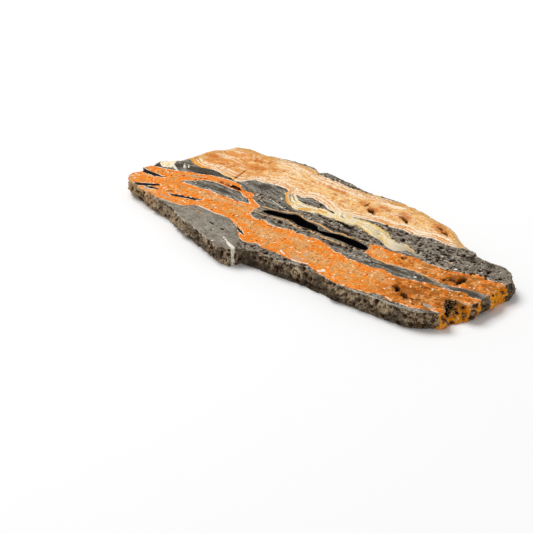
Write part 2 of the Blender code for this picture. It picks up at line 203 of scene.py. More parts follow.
RIGHT_ORANGE = [
    (29.4, -6.9), (30.3, -4.5), (30, -2), (29, 0.4), (31.7, 0.4), (35.8, 0), (38.3, -1.5), (40, -0.9),
    (52.5, -1), (57.5, -2.2), (60, -3), (69, -3.4), (73, -2.5), (75.5, -1.5), (78, -0.8), (80, -1),
    (82, -2.8), (89.5, -2.5), (99, -3.5), (99, -14.5), (87.5, -13.8), (78, -13.4), (72, -14.5), (67, -14),
    (65, -13), (59.2, -12), (54.2, -10.6), (51.3, -11.3), (48.3, -10.4), (41.7, -10.8), (35, -9.8),
    (32.5, -8.5),
]
GREY_LENS = [
    (-70.2, 9.9), (-66, 11.8), (-63.9, 13.5), (-61.4, 15.2), (-57.3, 16), (-51.8, 15.2), (-48.5, 14.5),
    (-41.8, 13.5), (-40.2, 12.2), (-38.5, 10.5), (-35.4, 9.6), (-34.2, 8), (-32.3, 6.2), (-33.8, 5.8),
    (-38.5, 5.4), (-45.2, 6.2), (-50.2, 6.8), (-54, 8), (-58, 7.3), (-60.6, 8), (-66.4, 8.3),
]
DARK_SLIVERS = [
    [(-94, 14), (-90.8, 11.6), (-86.7, 10.5), (-83, 10), (-77.5, 8.4), (-82.7, 7.4), (-88, 8),
     (-94, 10.4)],
    [(-87.4, -2.2), (-81, 0.2), (-77, 1.9), (-75, 1.4), (-80, -1.9), (-85.4, -4.4)],
    [(-81, -3), (-78.6, -1.8), (-75.4, -1.5), (-73.8, -2.3), (-77.4, -3.6)],
    [(-68.4, -3.4), (-66, -2.9), (-63.7, -2.3), (-59.4, -1.6), (-55.7, -1.4), (-51.6, -1.2),
     (-54.8, -2.9), (-58.2, -3.6), (-62, -3.9), (-65.2, -4.7)],
    [(-26.5, -14.7), (-23.2, -16.4), (-20.4, -19.4), (-22.2, -18.9), (-25.2, -16.9)],
]
# Thin lines and small spots, each a line of points with its greatest half width.
CREAM_LINES = [
    ([(-30, 6.2), (-23.3, 6.1), (-15, 7.1), (-10.6, 8.5), (-9, 8.2), (-6.7, 6.6), (-3.8, 5.3),
      (2.5, 4.5), (5, 3.3), (8, 2), (11.7, 0.9), (12.7, 1.7), (15, 2), (18.3, 1), (25.8, 0.6),
      (31.7, 0.4)], 0.4),
    ([(-28, 0.9), (-23.3, 0.3), (-15, 0.3), (-11.3, 0.8), (-9.6, 0.4), (-8, -1), (-5.4, -2.2), (0, -2.5),
      (3.8, -2.9), (7, -4.2), (13.3, -5.3), (18.3, -6), (22.5, -7.4), (29.6, -7.5)], 0.38),
    ([(-36.1, 3.8), (-33.4, 4.3), (-29.8, 3.2), (-26.8, 2.8), (-23.9, 2.5)], 0.28),
    ([(-37, -1.4), (-34.7, -0.7), (-32.2, -0.3), (-29, 0.2), (-25.7, 0.4)], 0.35),
    ([(-34.5, -3.1), (-32, -2.3), (-29.9, -0.9)], 0.2), ([(-28.7, 6.4), (-24.9, 6.2), (-21.7, 6.4)], 0.3),
    ([(-72, 2.8), (-68.7, 2.5), (-65.2, 1.1), (-61.1, 0.4), (-57.7, -0.9)], 0.28),
    ([(-87.2, -2.1), (-84.5, -0.6), (-81.7, 0.6)], 0.22),
    ([(-81.7, -7.2), (-77.4, -5.8), (-73.8, -3.3)], 0.35),
    ([(-89.5, 7.4), (-84.5, 6.3), (-79.5, 6.6)], 0.4),
    ([(-84.5, -5.8), (-79.5, -4.7), (-74.4, -3.9)], 0.5), ([(-69.8, -3.1), (-66.8, -2.8)], 0.4),
    ([(-82, 12.6), (-76, 13.6), (-70, 13)], 0.22), ([(-87.7, 10.5), (-83.1, 10.4), (-78.2, 9.1)], 0.22),
    ([(-34.2, -8.6), (-31.3, -10.2), (-28.6, -11.7), (-25.9, -13.7)], 0.4),
    ([(-26, -14.5), (-23.3, -16.6)], 0.3), ([(60.9, -30.1), (63.6, -29.8), (66.2, -28.9)], 0.22),
    ([(59.6, -13.1), (62.9, -13.7), (66.8, -14.5), (70.1, -15)], 0.25),
    ([(47.5, -6.5), (52.3, -7.1), (57.2, -8), (62.3, -9.5), (65.6, -10.9)], 0.2),
    ([(70.1, -9.4), (73, -9.9), (76.8, -10.7)], 0.25), ([(51.1, -4.8), (55.2, -5.8), (60.1, -6.7)], 0.18),
    ([(58, -6.1), (62.9, -7)], 0.18), ([(-14.7, -9.2), (-11.6, -9.5)], 0.35),
    ([(-8.6, -7.2), (-7.5, -5.7)], 0.45),
    ([(30.4, -7.4), (35, -9.8), (41.7, -10.8), (48.3, -10.4), (54.2, -10.7), (59.2, -12),
      (65, -13)], 0.45),
]
WHITE_VEINS = [
    ([(-27.5, -24.6), (-25.2, -26.6), (-23, -28.3)], 0.4),
    ([(-24, -27.6), (-21.4, -29.6), (-19, -31), (-16.8, -34.6)], 0.8),
    ([(-77.4, 24), (-76, 21.8), (-75.6, 20.4)], 0.36), ([(-75.3, 24.2), (-73.7, 21.8)], 0.34),
    ([(-83.8, 23.4), (-80.2, 19.7), (-76.2, 16.7)], 0.6), ([(56.1, -14.5), (57.1, -15.6)], 0.55),
    ([(67.1, -0.8), (68.8, -1.7)], 0.8), ([(-30, -29.7), (-29, -30.1)], 0.5),
    ([(-23.7, 17.6), (-22.2, 16.1)], 0.35), ([(-34.9, -21.3), (-33.6, -21.5)], 0.3),
    ([(41.6, 0.9), (43.2, 0.5)], 0.2),
    ([(-27, 13.8), (-22.5, 11.7), (-18.3, 9.6), (-15, 8.5), (-11.7, 8.5)], 0.24),
    ([(-53.5, -7.6), (-51.8, -6.8), (-49, -6.8), (-46, -7.7), (-41.8, -8.8), (-36.7, -9.1),
      (-33.8, -9.7)], 0.26), ([(-57.5, 7.6), (-54, 8.1), (-50.2, 6.9)], 0.22),
    ([(-16.7, -6), (-13, -6.6), (-10, -6.6)], 0.2),
    ([(21, -28), (22.6, -28.8), (21.4, -30), (19.6, -30)], 0.7), ([(-1, -22.3), (0.4, -24.4)], 0.5),
    ([(0.2, -24.2), (2.6, -25)], 0.45), ([(27, -30.4), (30, -33.4)], 0.2),
    ([(5, -26.9), (9, -27.6), (14, -27.4), (14.2, -25.4)], 0.35), ([(52.6, -34.2), (56.4, -36.2)], 0.3),
]
GREY_LINES = [
    ([(5.5, -25.4), (9, -25.6), (12, -26)], 0.5), ([(8.4, -20.2), (12, -22.4)], 0.35),
    ([(46.7, 5.8), (51.1, 1.8), (54.2, -1.3), (57.5, -2.1), (61.5, -2.2), (65.8, -3.8)], 1),
    ([(56.4, 3.7), (59.3, 3.5), (62.3, 3), (65.7, 1.8)], 0.42), ([(53.5, 6.4), (57, 4.7)], 0.3),
    ([(67.5, -15.9), (69.7, -16.1), (73.2, -18)], 0.9),
    ([(67.1, -32.2), (69.5, -33.1), (71.3, -33.3), (73.6, -33.7)], 0.7),
    ([(68.4, -31.5), (70.6, -31.9), (72.7, -32.4)], 0.35),
    ([(-72.2, -5.8), (-69.4, -6.1), (-65.4, -7.4)], 0.45), ([(-80.8, -4.7), (-78.3, -3.7)], 0.7),
    ([(-71, -9.1), (-68.4, -9.5), (-65.6, -9.7), (-60.5, -10.7)], 0.55),
    ([(-68.5, -3.7), (-66.9, -2.4)], 0.6),
    ([(-39.1, -21.3), (-36.4, -22.1), (-34.2, -21.7), (-30.9, -21.8)], 0.22),
    ([(-32.7, 16.7), (-32.9, 19.3), (-31.6, 20.2), (-29.8, 17.8), (-29.8, 15.2), (-31.6, 15.2)], 0.22),
    ([(-33.5, 23.3), (-29.7, 22.2), (-27.6, 22.8), (-24.5, 21.9)], 0.22),
    ([(-30, 12.2), (-25.8, 11.8), (-22, 10.4)], 0.22),
    ([(-38.5, 21.5), (-35.1, 19.1), (-31.5, 14.6)], 0.22),
    ([(-61.6, 12), (-58.2, 12.4), (-53.5, 10.6), (-50.2, 11)], 0.25),
    ([(-57.1, 9.7), (-53.1, 8.2), (-49.7, 8.5)], 0.25), ([(-54.3, 6.9), (-49.3, 5.4)], 0.2),
    ([(-16.9, 19.8), (-13.8, 20.5), (-11.6, 22.8), (-7.7, 21.9)], 0.25),
    ([(-14, 17.2), (-9.6, 16.5), (-5.9, 16.9)], 0.2), ([(25.3, -11.3), (28.2, -12.5)], 0.7),
    ([(29.6, -12.7), (33, -13.9)], 0.35), ([(44.7, -11.9), (49.6, -12.8), (53.7, -11.9)], 0.2),
    ([(54.5, -12.7), (57.3, -12), (59.8, -14.2), (59, -17.4)], 0.22), ([(-17.3, -4.6), (-12.6, -6)], 0.4),
    ([(-5.5, -4.9), (-0.7, -6.8)], 0.5), ([(1.4, -7.9), (4.8, -9)], 0.4),
    ([(-71.5, 13.7), (-68, 16.2), (-62.3, 17.6)], 0.5),
    ([(30, -35.6), (40, -36.6), (50, -37.2), (60, -38.8), (68, -38.4)], 0.5),
    ([(-76.4, 22.8), (-74.6, 20.4)], 0.7),
]
ORANGE_SPOTS = [
    ([(-49.6, -10.8), (-48.4, -11.2)], 0.55), ([(-47, -11.6), (-45.7, -12.4)], 0.5),
    ([(-54.4, -9.6), (-53.3, -9.8)], 0.45), ([(-31.8, 12.7), (-29.9, 12.7)], 0.6),
    ([(73.8, -28.2), (75.5, -29.5)], 0.4), ([(29, -7.2), (30.2, -4.4), (29.8, -1.6), (28.8, 0.8)], 0.8),
]
RUST_LINES = [
    ([(-50, 33.6), (-50.3, 28.7), (-49.9, 24.4)], 0.4), ([(54.5, -19.3), (60, -19.5), (66.5, -20)], 0.3),
    ([(57, -21), (62, -21), (68.5, -21.4)], 0.34), ([(60, -22.8), (65, -22.6), (71, -22.6)], 0.3),
    ([(50, -21.5), (54.5, -22.6)], 0.4), ([(11.4, 28.2), (12.3, 33.4)], 0.4),
    ([(71.9, -30), (74.1, -29.4), (77.3, -30.7)], 0.7), ([(70.2, -27.3), (72.9, -26.7)], 0.6),
    ([(76, -25.9), (79.1, -26.2)], 0.6), ([(-33, 3.6), (-31, 3.5)], 0.35),
    ([(-35.1, 2), (-32.6, 2)], 0.3), ([(46.5, 27.1), (49.2, 26.7)], 0.6),
    ([(49.4, 24.8), (53.6, 22.6)], 1), ([(28.4, 28.1), (33.8, 25.3)], 1.2),
    ([(13.2, 26.6), (17.2, 27)], 1),
]
BROWN_LINES = [
    ([(61.3, -30.9), (63.6, -30.6), (66.3, -30)], 0.45), ([(63.9, -34.1), (65.8, -34.7)], 0.5),
    ([(56.9, -28.2), (59, -29.4), (60.7, -30.7)], 0.9), ([(52.9, -24.5), (55.5, -27.2)], 1),
    ([(66.7, -10.8), (68.4, -10.9), (71, -10.5)], 0.8), ([(44.6, -3.4), (47.3, -4.2)], 0.9),
    ([(-70.1, -2.6), (-68.9, -1.1), (-66.9, -1)], 0.45), ([(67.4, -32.4), (68.6, -33.1)], 0.4),
]
BLACK_LINES = [
    ([(-66.6, 15.4), (-60, 17)], 0.25), ([(-39.3, -16.5), (-35.7, -18.1)], 0.42),
    ([(-32.5, -19.1), (-29.9, -19.8)], 0.45), ([(-26.5, -25.9), (-25.6, -26.3)], 0.5),
    ([(51.5, 6.7), (52.4, 6.2)], 0.8), ([(52.7, 2.5), (53.9, 2.7)], 0.7),
    ([(54.1, 3.4), (55.2, 3.2)], 0.6), ([(54.3, 0.2), (55.5, 0.1)], 0.7),
    ([(55.5, 1.3), (56.4, 1.1)], 0.55), ([(51.5, 4.2), (52.3, 3.9)], 0.5),
    ([(53.2, 6.1), (54, 5.6)], 0.55), ([(54.1, 10.3), (55.5, 9.7)], 0.5), ([(59.3, 2.6), (60.9, 2)], 0.5),
    ([(61.2, 1.8), (62.5, 1.6)], 0.3), ([(79.6, 3.6), (81, 3.5)], 0.6),
    ([(76.1, 2.1), (77.5, 1.9)], 0.45), ([(6.9, 11.1), (9.6, 10.6), (13.2, 9.1), (17.1, 7.5)], 0.95),
    ([(12.7, 2.8), (15.5, 3.8), (18.4, 4.1)], 0.35), ([(32.4, -7.3), (33.3, -7.7)], 0.35),
    ([(34.5, -10.4), (35.4, -10.8)], 0.4), ([(39.2, -10.9), (40.7, -11.4)], 0.45),
    ([(38.4, -14.6), (39.5, -14.9)], 0.35), ([(23.5, -8.9), (24.4, -9.3)], 0.4),
    ([(35.7, -12.8), (36.6, -13.2)], 0.35), ([(26.5, 18.2), (28.4, 17.3)], 0.7),
    ([(-1.1, 18), (1.1, 17.4), (3.8, 16)], 0.5), ([(-13.3, 18.7), (-11.2, 18.6)], 0.6),
    ([(-6.7, 21.4), (-4.1, 20.2)], 0.4), ([(-22.5, 13.8), (-21.5, 13.3)], 0.35),
    ([(-19.2, 7.8), (-18.2, 7.3)], 0.35), ([(-31.1, 11), (-29.1, 9.5)], 0.35),
    ([(-35.5, 8.5), (-33.8, 7.4)], 0.4), ([(-50.6, 23.2), (-50.3, 25.4)], 0.5),
    ([(-49, 17.4), (-45.4, 16.2), (-41.8, 14.6)], 0.9), ([(-54.8, 17.7), (-53.5, 17.3)], 0.5),
    ([(-51.2, 16.9), (-47.9, 16.6)], 0.5), ([(-9.6, -3.7), (-8.5, -3.6)], 0.4),
    ([(-7.2, -4.5), (-5.7, -4.6)], 0.35), ([(-68.7, 19.9), (-65.6, 20.1), (-61.9, 20.8)], 0.35),
    ([(-53.8, 23), (-51.2, 22)], 0.6), ([(-62.8, 10.2), (-61.7, 9.7)], 0.45),
]
YELLOW_LINES = [
    ([(-80, 32.6), (-78.6, 30.8), (-76.2, 29.2), (-73.5, 27.4), (-69, 25.9), (-64, 26.4)], 1),
    ([(-24.6, 26.2), (-23, 24), (-23.7, 22.6), (-20.6, 17.5), (-18.7, 15.1), (-15, 12.5)], 0.65),
    ([(-12.6, 12), (-9.4, 13.6), (-6, 13.4)], 0.9), ([(-5, 16.2), (-2, 15.2), (1, 15)], 0.7),
    ([(63.6, 2), (65.4, 1.9)], 0.5), ([(44.5, -33.8), (46.9, -37.2)], 0.35),
]
PALE_YELLOW_LINES = [
    ([(-60, 26), (-55.6, 24.2), (-50, 22.8), (-46.6, 22.6)], 0.7),
    ([(12, 17.2), (17.5, 16.5), (24.2, 14.9), (30.8, 11.8), (32, 10.4), (35.8, 7.9)], 0.8),
    ([(40.8, 7.3), (45.8, 4.3), (49, 2.5)], 0.45), ([(15.5, 11.2), (19.6, 10.7), (25.8, 7.1)], 0.6),
    ([(27, 9.6), (31, 7), (34, 4.4), (36.6, 2.6)], 0.6), ([(-8, 14.4), (-2, 14), (3, 13)], 0.6),
]
# Closed outlines again: the dark weathered stone along the back edge, and the pale lump at the left.
BACK_CRUST = [
    [(-43, 55), (-42, 50.6), (-36, 50.4), (-30, 50), (-25, 48.9), (-22.8, 48.4), (-22, 55)],
    [(-21, 55), (-20.6, 45.9), (-16, 44.4), (-12, 43.8), (-8, 43.2), (-5, 41.6), (2, 40.6), (6, 40.4),
     (9.6, 39.6), (11, 48)],
    [(13, 44), (14, 39.6), (19, 39.4), (24, 38.6), (26, 44)],
    [(62.8, 24), (63.6, 17), (66, 15.4), (72, 14.4), (72, 24)],
]
CREAM_LUMPS = [
    [(-88, 19.6), (-87, 26), (-82.5, 26), (-81.6, 21.5), (-80.6, 18.3), (-84.6, 16.9)],
]
# Soft blotches, as x, y, half length, half width, turn in degrees.
RUST_BLOTCHES = [
    (-69.5, 37.2, 4.2, 2.6, -25), (-46.4, 37.2, 4.6, 2.6, 10), (-57.5, 33.5, 2, 1.2, 60),
    (-50.4, 27.5, 0.8, 6, 0), (-20.9, 34.7, 1.2, 0.7, -20), (-19, 37.8, 1.2, 0.7, 0),
    (-19.5, 29.6, 1.3, 0.8, 0), (-4.5, 32.2, 1.2, 0.8, 0), (1.8, 27.5, 2.2, 0.9, -10),
    (-39.7, 39.8, 1.3, 0.7, 0), (19.9, 28.7, 1, 0.9, 0), (-62.5, 33, 2.6, 1.2, 0),
    (31, 28.4, 4.6, 3, -30), (49, 25.6, 6, 2.6, -40), (16, 27.4, 3.6, 3, 0), (-50, 43.5, 3.4, 1.4, 10),
    (62, -25, 7, 2.6, -8), (72, -7.6, 4.4, 4.6, -8), (57, -28, 7, 3.8, -40), (10, 30.5, 4, 2.2, -30),
    (20, 31, 4, 1.6, -20), (-6, 36, 7, 1.6, -15), (77, -27.5, 6, 4, -40), (64.5, -30.6, 4.5, 1, 10),
    (67.4, -11.2, 2.4, 1.2, 0), (45.8, -3.2, 1.6, 1.2, 0), (-71.8, 14.2, 1.2, 1, 0),
]
DARK_BLOTCHES = [
    (-65, 22.5, 15, 3.4, 4), (-86.8, 18, 1.8, 2.6, 0), (-79, 21.4, 2.4, 2.6, 0), (12, 3.8, 9, 1.3, -5),
    (17.5, -7.8, 4, 1.2, -12), (-5.5, -29.3, 2.2, 1.2, -20), (80.5, -33.5, 1.6, 3.4, 10),
    (-35, 22.5, 4, 3, 10), (-28, 25.4, 4, 1, 0), (78.8, 9, 3.2, 1.8, -40), (85, -21.5, 1.8, 2.4, 0),
    (60, -14.8, 4.6, 2.6, -10), (47, -14, 8, 1.4, -8), (-52, 10.6, 11, 1.8, -9), (80, -15.8, 7, 2.2, -5),
    (70, 9, 5, 2, -20),
]
# Where the orange is pale and tan.
PALE_ORANGE = [
    (-50, 4, 9, 4, -8), (-38, 3, 6, 3, -10), (-25, -8.5, 5, 3, -20), (-12, -14, 9, 4, -10),
    (2, -13, 6, 2.4, -10), (14, -21, 8, 4, -15), (30, -22, 8, 3, -10), (43, -22.5, 6, 2.4, -10),
    (62, -27, 6, 2, 0), (35, -4.5, 5, 3, -10), (56, -6, 4, 1.6, -5), (76, -5, 4, 2, -5),
]
# Where the grey rock is full of cut bubbles.
BUBBLY_GREY = [
    (62, 7, 30, 9, -18), (34, 14, 12, 3, -20), (14, 7.5, 22, 5, -8), (5, -29.5, 30, 3, -4),
    (8, -4.5, 26, 2.4, -8), (-33, 15, 4, 2, 0), (-4, 20, 8, 2, -15), (-10, 43, 16, 2.6, -10),
]
# The smooth paler block, as a closed outline.
SMOOTH_GREY = [
    (-58, -8.6), (-52, -5.5), (-36, -7.5), (-28.5, -11.5), (-24.8, -15.5), (-21.5, -21), (-18.6, -25),
    (-17.2, -30.5), (-19, -36), (-40, -29), (-66, -16),
]

# The lie of the banding: the height of one layer along the slab, for streaks that follow it.
LAYER_TREND = [(-99, 21), (-60, 22), (-45, 19), (-28, 8), (0, 3), (40, -0.5), (99, -2)]

# Uneven stone, as layers of noise: size, octaves, offset of the pattern, and height.
RIM_GRAIN = [(2.4, 3, 11.0, 0.70), (1.0, 2, 23.0, 0.45)]
BITE_GRAIN = [(1.7, 2, 41.0, 0.7)]
CLEFT_GRAIN = [(1.2, 2, 7.0, 0.2)]
HOLLOW_EDGE_GRAIN = [(1.8, 2, 5.0, 0.6), (0.9, 2, 15.0, 0.4)]
HOLLOW_FLOOR_GRAIN = [(1.3, 2, 25.0, 0.6)]
ORANGE_GRAIN = [(1.4, 3, 3.0, 0.10)]
CREAM_GRAIN = [(2.0, 3, 9.0, 0.07)]
CHIP_GRAIN = [(2.4, 3, 33.0, 0.35)]

# Pits: how far apart their places are, the share of places that have one, a seed, and the depth.
RIM_PITS = [(3.0, 0.5, 3, 1.0), (1.5, 0.5, 9, 0.5)]
LONG_BUBBLES = (1.7, 0.5, 21, 0.7)
ROUND_BUBBLES = (1.3, 0.5, 31, 0.6)
ORANGE_PITS = (1.6, 0.45, 41, 0.28)
CREAM_PITS = (2.6, 0.22, 51, 0.30)

# How much of the rim's finer relief is left at its upper and lower edge.
FINE_EDGE_SHARE = 0.3
# How far from an edge the saw has chipped the face, and the cracks in it.
CHIP_REACH = 1.3
CRACK_DEPTH = 0.6
CRACK_HALF_WIDTH = 0.4
# How far inside a band, and inside the smooth block, the face has the pits of that rock in full.
BAND_FADE = 0.6
BLOCK_FADE = 1.5
# A distance that counts as well outside a line.
FAR_OUTSIDE = -9.0

# Colours read off the stone, as sRGB 0 to 255.
ORANGE_DEEP = (248, 120, 0)
ORANGE = (240, 133, 16)
ORANGE_PALE = (250, 194, 116)
ORANGE_TAN = (232, 176, 124)
TAN = (208, 150, 90)
OLIVE_BROWN = (154, 102, 46)
BROWN = (98, 56, 22)
RUST = (150, 80, 20)
RUST_ON_CREAM = (200, 110, 38)
CREAM = (251, 211, 146)
CREAM_LIGHT = (254, 238, 208)
CREAM_TAN = (234, 182, 120)
CREAM_DEEP = (218, 131, 48)
CREAM_OLIVE = (204, 156, 84)
TONGUE = (250, 228, 184)
TONGUE_GREY = (206, 192, 156)
WHITE = (246, 238, 220)
YELLOW = (234, 160, 46)
PALE_YELLOW = (236, 194, 112)
GREY = (124, 116, 104)
GREY_LIGHT = (164, 156, 142)
GREY_BLUE = (118, 120, 116)
GREY_DARK = (66, 62, 54)
BLUE_BLACK = (26, 32, 36)
GREY_PALE = (176, 171, 156)
BUBBLY = (144, 132, 116)
SPECK = (224, 215, 198)
# Black, also used for painted shade deep in hollows and in the cleft.
BLACK = (14, 12, 10)
# A dark crust colour, also used for the rim's painted shade.
CRUST_DARK_AND_SHADE = (38, 26, 17)
CRUST_BROWN = (84, 60, 38)
CRUST_TAN = (180, 150, 106)
CRUST = (124, 98, 68)
# A pale crust colour, also used for the rim's painted highlights.
CRUST_LIGHT_AND_HIGHLIGHT = (204, 180, 146)
CRUST_PINK = (184, 156, 130)
# Browns laid in hollows as their painted shade.
CAVITY = (74, 48, 28)
CAVITY_ORANGE = (176, 72, 4)
OCHRE = (244, 150, 14)

# Each set of lines under the name of its field, in the order they are laid on: the lines, their colour,
# and how whole they are, from 0 where they break up to 1.
LINES = {
    "cream_lines": (CREAM_LINES, CREAM_TAN, 0.85),
    "pale_yellow_lines": (PALE_YELLOW_LINES, PALE_YELLOW, 0.2),
    "yellow_lines": (YELLOW_LINES, YELLOW, 0.7),
    "grey_lines": (GREY_LINES, GREY_PALE, 0.3),
    "orange_spots": (ORANGE_SPOTS, TAN, 1.0),
    "white_veins": (WHITE_VEINS, WHITE, 0.8),
    "rust_lines": (RUST_LINES, RUST, 0.5),
    "brown_lines": (BROWN_LINES, BROWN, 0.8),
    "black_lines": (BLACK_LINES, BLACK, 1.0),
}

# Where the looks change along the slab: the X where each change starts and the X where it is full.
BROWNER_ORANGE = (35, 60)
TANNER_CREAM = (-25, -50)
GREYER_TONGUE = (28, 48)
END_OF_TONGUE = (-20, -40)
PALE_LUMP = (-78, -80)
# From here to the right end the rim's painted light is raised a little.
PALER_RIM = (45, 65)
# Along the smooth block the rim is pinker and gets no painted shade.
BLOCK_RIM = (-12, -20)
# Over these X the painted shade on the rim's lower half fades out towards the right.
DARKER_RIM = (40, 20)
LEFT_END_RIM = (-83, -86)
LEDGE_START = (-85, -83)
LEDGE_END = (-75, -77)
OCHRE_RIM = (66, 72)
ORANGE_HOLLOWS = (0, -20)

# The camera, placed on the slab's grid, and its lens.
CAMERA_PLACE = (295.4, -547.6, 348.0)
CAMERA_FORWARD = (-0.4330, 0.75, -0.5)
CAMERA_RIGHT = (0.866, 0.5, 0.0)
SENSOR_WIDTH = 36.0
VIEW_ANGLE = 18.0

# The studio, in metres and watts.
FLOOR_HALF = 4.0
FLOOR_SHADE = 0.97
LIGHT_PLACE = (-1.3, 0.35, 2.2)
LIGHT_SIZE = 1.3
LIGHT_POWER = 50.0
SURROUND_STRENGTH = 0.45


def on_frame(x, y, z=0.0):
    """A place on the slab's grid, in metres in the shared frame."""
    return Vector((x - FOOTPRINT_CENTRE[0], y - FOOTPRINT_CENTRE[1], z)) * MM


def linear(colour):
    """An sRGB colour of 0 to 255 as linear red, green, blue and alpha."""
    shares = [c / 255.0 for c in colour]
    return tuple(c / 12.92 if c <= 0.04045 else ((c + 0.055) / 1.055) ** 2.4 for c in shares) + (1.0,)


def mix(first, second, share):
    """The point that lies the given share of the way from first to second."""
    return tuple(a + (b - a) * share for a, b in zip(first, second))


def trim_corners(outline, share):
    """A closed outline with every corner cut back a little on both sides."""
    trimmed = []
    for index, corner in enumerate(outline):
        following = outline[(index + 1) % len(outline)]
        trimmed += [mix(corner, outline[index - 1], share), mix(corner, following, share)]
    return trimmed


def even_steps(outline, step):
    """Points about one step apart along a closed outline; values past x and y are carried along."""
    lengths = [math.dist(a[:2], b[:2]) for a, b in zip(outline, outline[1:] + outline[:1])]
    count = round(sum(lengths) / step)
    spacing = sum(lengths) / count
    placed, segment, start = [], 0, 0.0
    for number in range(count):
        wanted = number * spacing
        while wanted > start + lengths[segment]:
            start += lengths[segment]
            segment += 1
        following = outline[(segment + 1) % len(outline)]
        placed.append(mix(outline[segment], following, (wanted - start) / lengths[segment]))
    return placed


def outward_normals(loop, step):
    """Unit normals that point out of a clockwise loop, evened out over a few millimetres."""
    reach = max(1, round(NORMAL_REACH / step))
    points = np.array([point[:2] for point in loop])
    along = np.roll(points, -reach, axis=0) - np.roll(points, reach, axis=0)
    normals = np.column_stack([-along[:, 1], along[:, 0]])
    return normals / np.linalg.norm(normals, axis=1, keepdims=True)


def fracture_facet(place):
    """Tilted flat facets, as a blow leaves them: each cell of a cell pattern is a plane of its own."""
    cell = noise.voronoi(place)[1][0]
    return (place - cell).dot(noise.cell_vector(cell * 7.3) - Vector((0.5, 0.5, 0.5)))


def rim_relief(x, y, z):
    """How far the broken rim stands out here, in millimetres."""
    place = Vector((x, y, z))
    out = LUMP_HEIGHT * noise.fractal(place / LUMP_SIZE, 0.9, 2.1, 3)
    for size, height in FACET_LAYERS:
        out += height * fracture_facet(place / size)
    from_nodule = (place - Vector(NODULE_MIDDLE)).length / NODULE_RADIUS
    if from_nodule < 1.0:
        out += NODULE_HEIGHT * math.sqrt(1.0 - from_nodule ** 2)
    return out


def bite_depth(points):
    """How far the bites cut into the rim at each point."""
    deepest = np.zeros(len(points))
    for x, y, z, radius, depth in RIM_BITES:
        away = np.linalg.norm(points - np.array([x, y, z]), axis=1) / radius
        deepest = np.maximum(deepest, depth * (1.0 - away ** 2))
    return deepest


def unevenness(points, layers):
    """Soft noise at many points, above and below zero, as the sum of its layers."""
    total = np.zeros(len(points))
    for size, octaves, offset, height in layers:
        places = points / size + offset
        total += height * np.array([noise.fractal(Vector(place), 0.8, 2.1, octaves) for place in places])
    return total


def hashed(columns, rows, seed):
    """A number from 0 to 1 for each pair of whole numbers, the same on each run."""
    mixed = np.sin(columns * 127.1 + rows * 311.7 + seed * 74.7) * 43758.5453
    return mixed - np.floor(mixed)


def pit_depth(u, v, pits):
    """Round pits scattered over a surface: 0 on sound stone, the full depth in the middle of a pit."""
    spacing, share, seed, full_depth = pits
    depth = np.zeros(len(u))
    column, row = np.floor(u / spacing), np.floor(v / spacing)
    for right in (-1, 0, 1):
        for up in (-1, 0, 1):
            c, r = column + right, row + up
            middle_u = (c + 0.2 + 0.6 * hashed(c, r, seed)) * spacing
            middle_v = (r + 0.2 + 0.6 * hashed(c, r, seed + 1)) * spacing
            radius = spacing * (0.18 + 0.32 * hashed(c, r, seed + 2))
            stretch = 0.6 + 0.8 * hashed(c, r, seed + 3)
            away = np.hypot((u - middle_u) / stretch, (v - middle_v) * stretch) / radius
            there = hashed(c, r, seed + 4) < share
            depth = np.maximum(depth, np.where(there, np.sqrt(np.clip(1.0 - away ** 2, 0.0, 1.0)), 0.0))
    return full_depth * depth


def distance_to_line(points, line, closed=False):
    """Shortest distance from each point to a line of points, all in the XY plane."""
    best = np.full(len(points), 1e9)
    ends = list(line) + ([line[0]] if closed else [])
    for a, b in zip(ends[:-1], ends[1:]):
        a, b = np.array(a[:2]), np.array(b[:2])
        along = b - a
        share = np.clip((points[:, :2] - a) @ along / max(along @ along, 1e-9), 0.0, 1.0)
        away = points[:, :2] - a - share[:, None] * along
        best = np.minimum(best, np.einsum("ij,ij->i", away, away))
    return np.sqrt(best)


def line_cover(points, line, half_width):
    """How deep each point lies within a line that narrows to nothing at its ends; negative outside."""
    best = np.full(len(points), FAR_OUTSIDE)
    corners = np.array(line)
    lengths = np.linalg.norm(np.diff(corners, axis=0), axis=1)
    for number, length in enumerate(lengths):
        start, along = corners[number], corners[number + 1] - corners[number]
        share = np.clip((points[:, :2] - start) @ along / length ** 2, 0.0, 1.0)
        away = np.linalg.norm(points[:, :2] - start - share[:, None] * along, axis=1)
        travelled = (lengths[:number].sum() + share * length) / lengths.sum()
        best = np.maximum(best, half_width * (1.0 - (2.0 * travelled - 1.0) ** 4) - away)
    return best


def inside(points, outline):
    """Whether each point lies inside a closed outline, in the XY plane."""
    x, y = points[:, 0], points[:, 1]
    odd = np.zeros(len(points), bool)
    for a, b in zip(outline, outline[1:] + outline[:1]):
        if a[1] != b[1]:
            spans = (a[1] > y) != (b[1] > y)
            odd ^= spans & (x < a[0] + (y - a[1]) / (b[1] - a[1]) * (b[0] - a[0]))
    return odd


def signed_distance(points, outline):
    """Distance to a closed outline, positive inside it."""
    away = distance_to_line(points, outline, closed=True)
    return np.where(inside(points, outline), away, -away)


def in_any(points, outlines):
    """Distance to the nearest edge of several closed outlines, positive inside any of them."""
    return np.max([signed_distance(points, outline) for outline in outlines], axis=0)


def oval_place(points, x, y, half_length, half_width, turn):
    """Where each point lies along and across a turned oval, which reaches 1 at its ends and sides."""
    turn = math.radians(turn)
    dx, dy = points[:, 0] - x, points[:, 1] - y
    along = (dx * math.cos(turn) + dy * math.sin(turn)) / half_length
    across = (dy * math.cos(turn) - dx * math.sin(turn)) / half_width
    return along, across


def soft_blotches(points, blotches):
    """The strongest of several soft oval blotches at each point, from 0 to 1."""
    strongest = np.zeros(len(points))
    for blotch in blotches:
        along, across = oval_place(points, *blotch)
        strongest = np.maximum(strongest, np.exp(-(along ** 2 + across ** 2)))
    return strongest


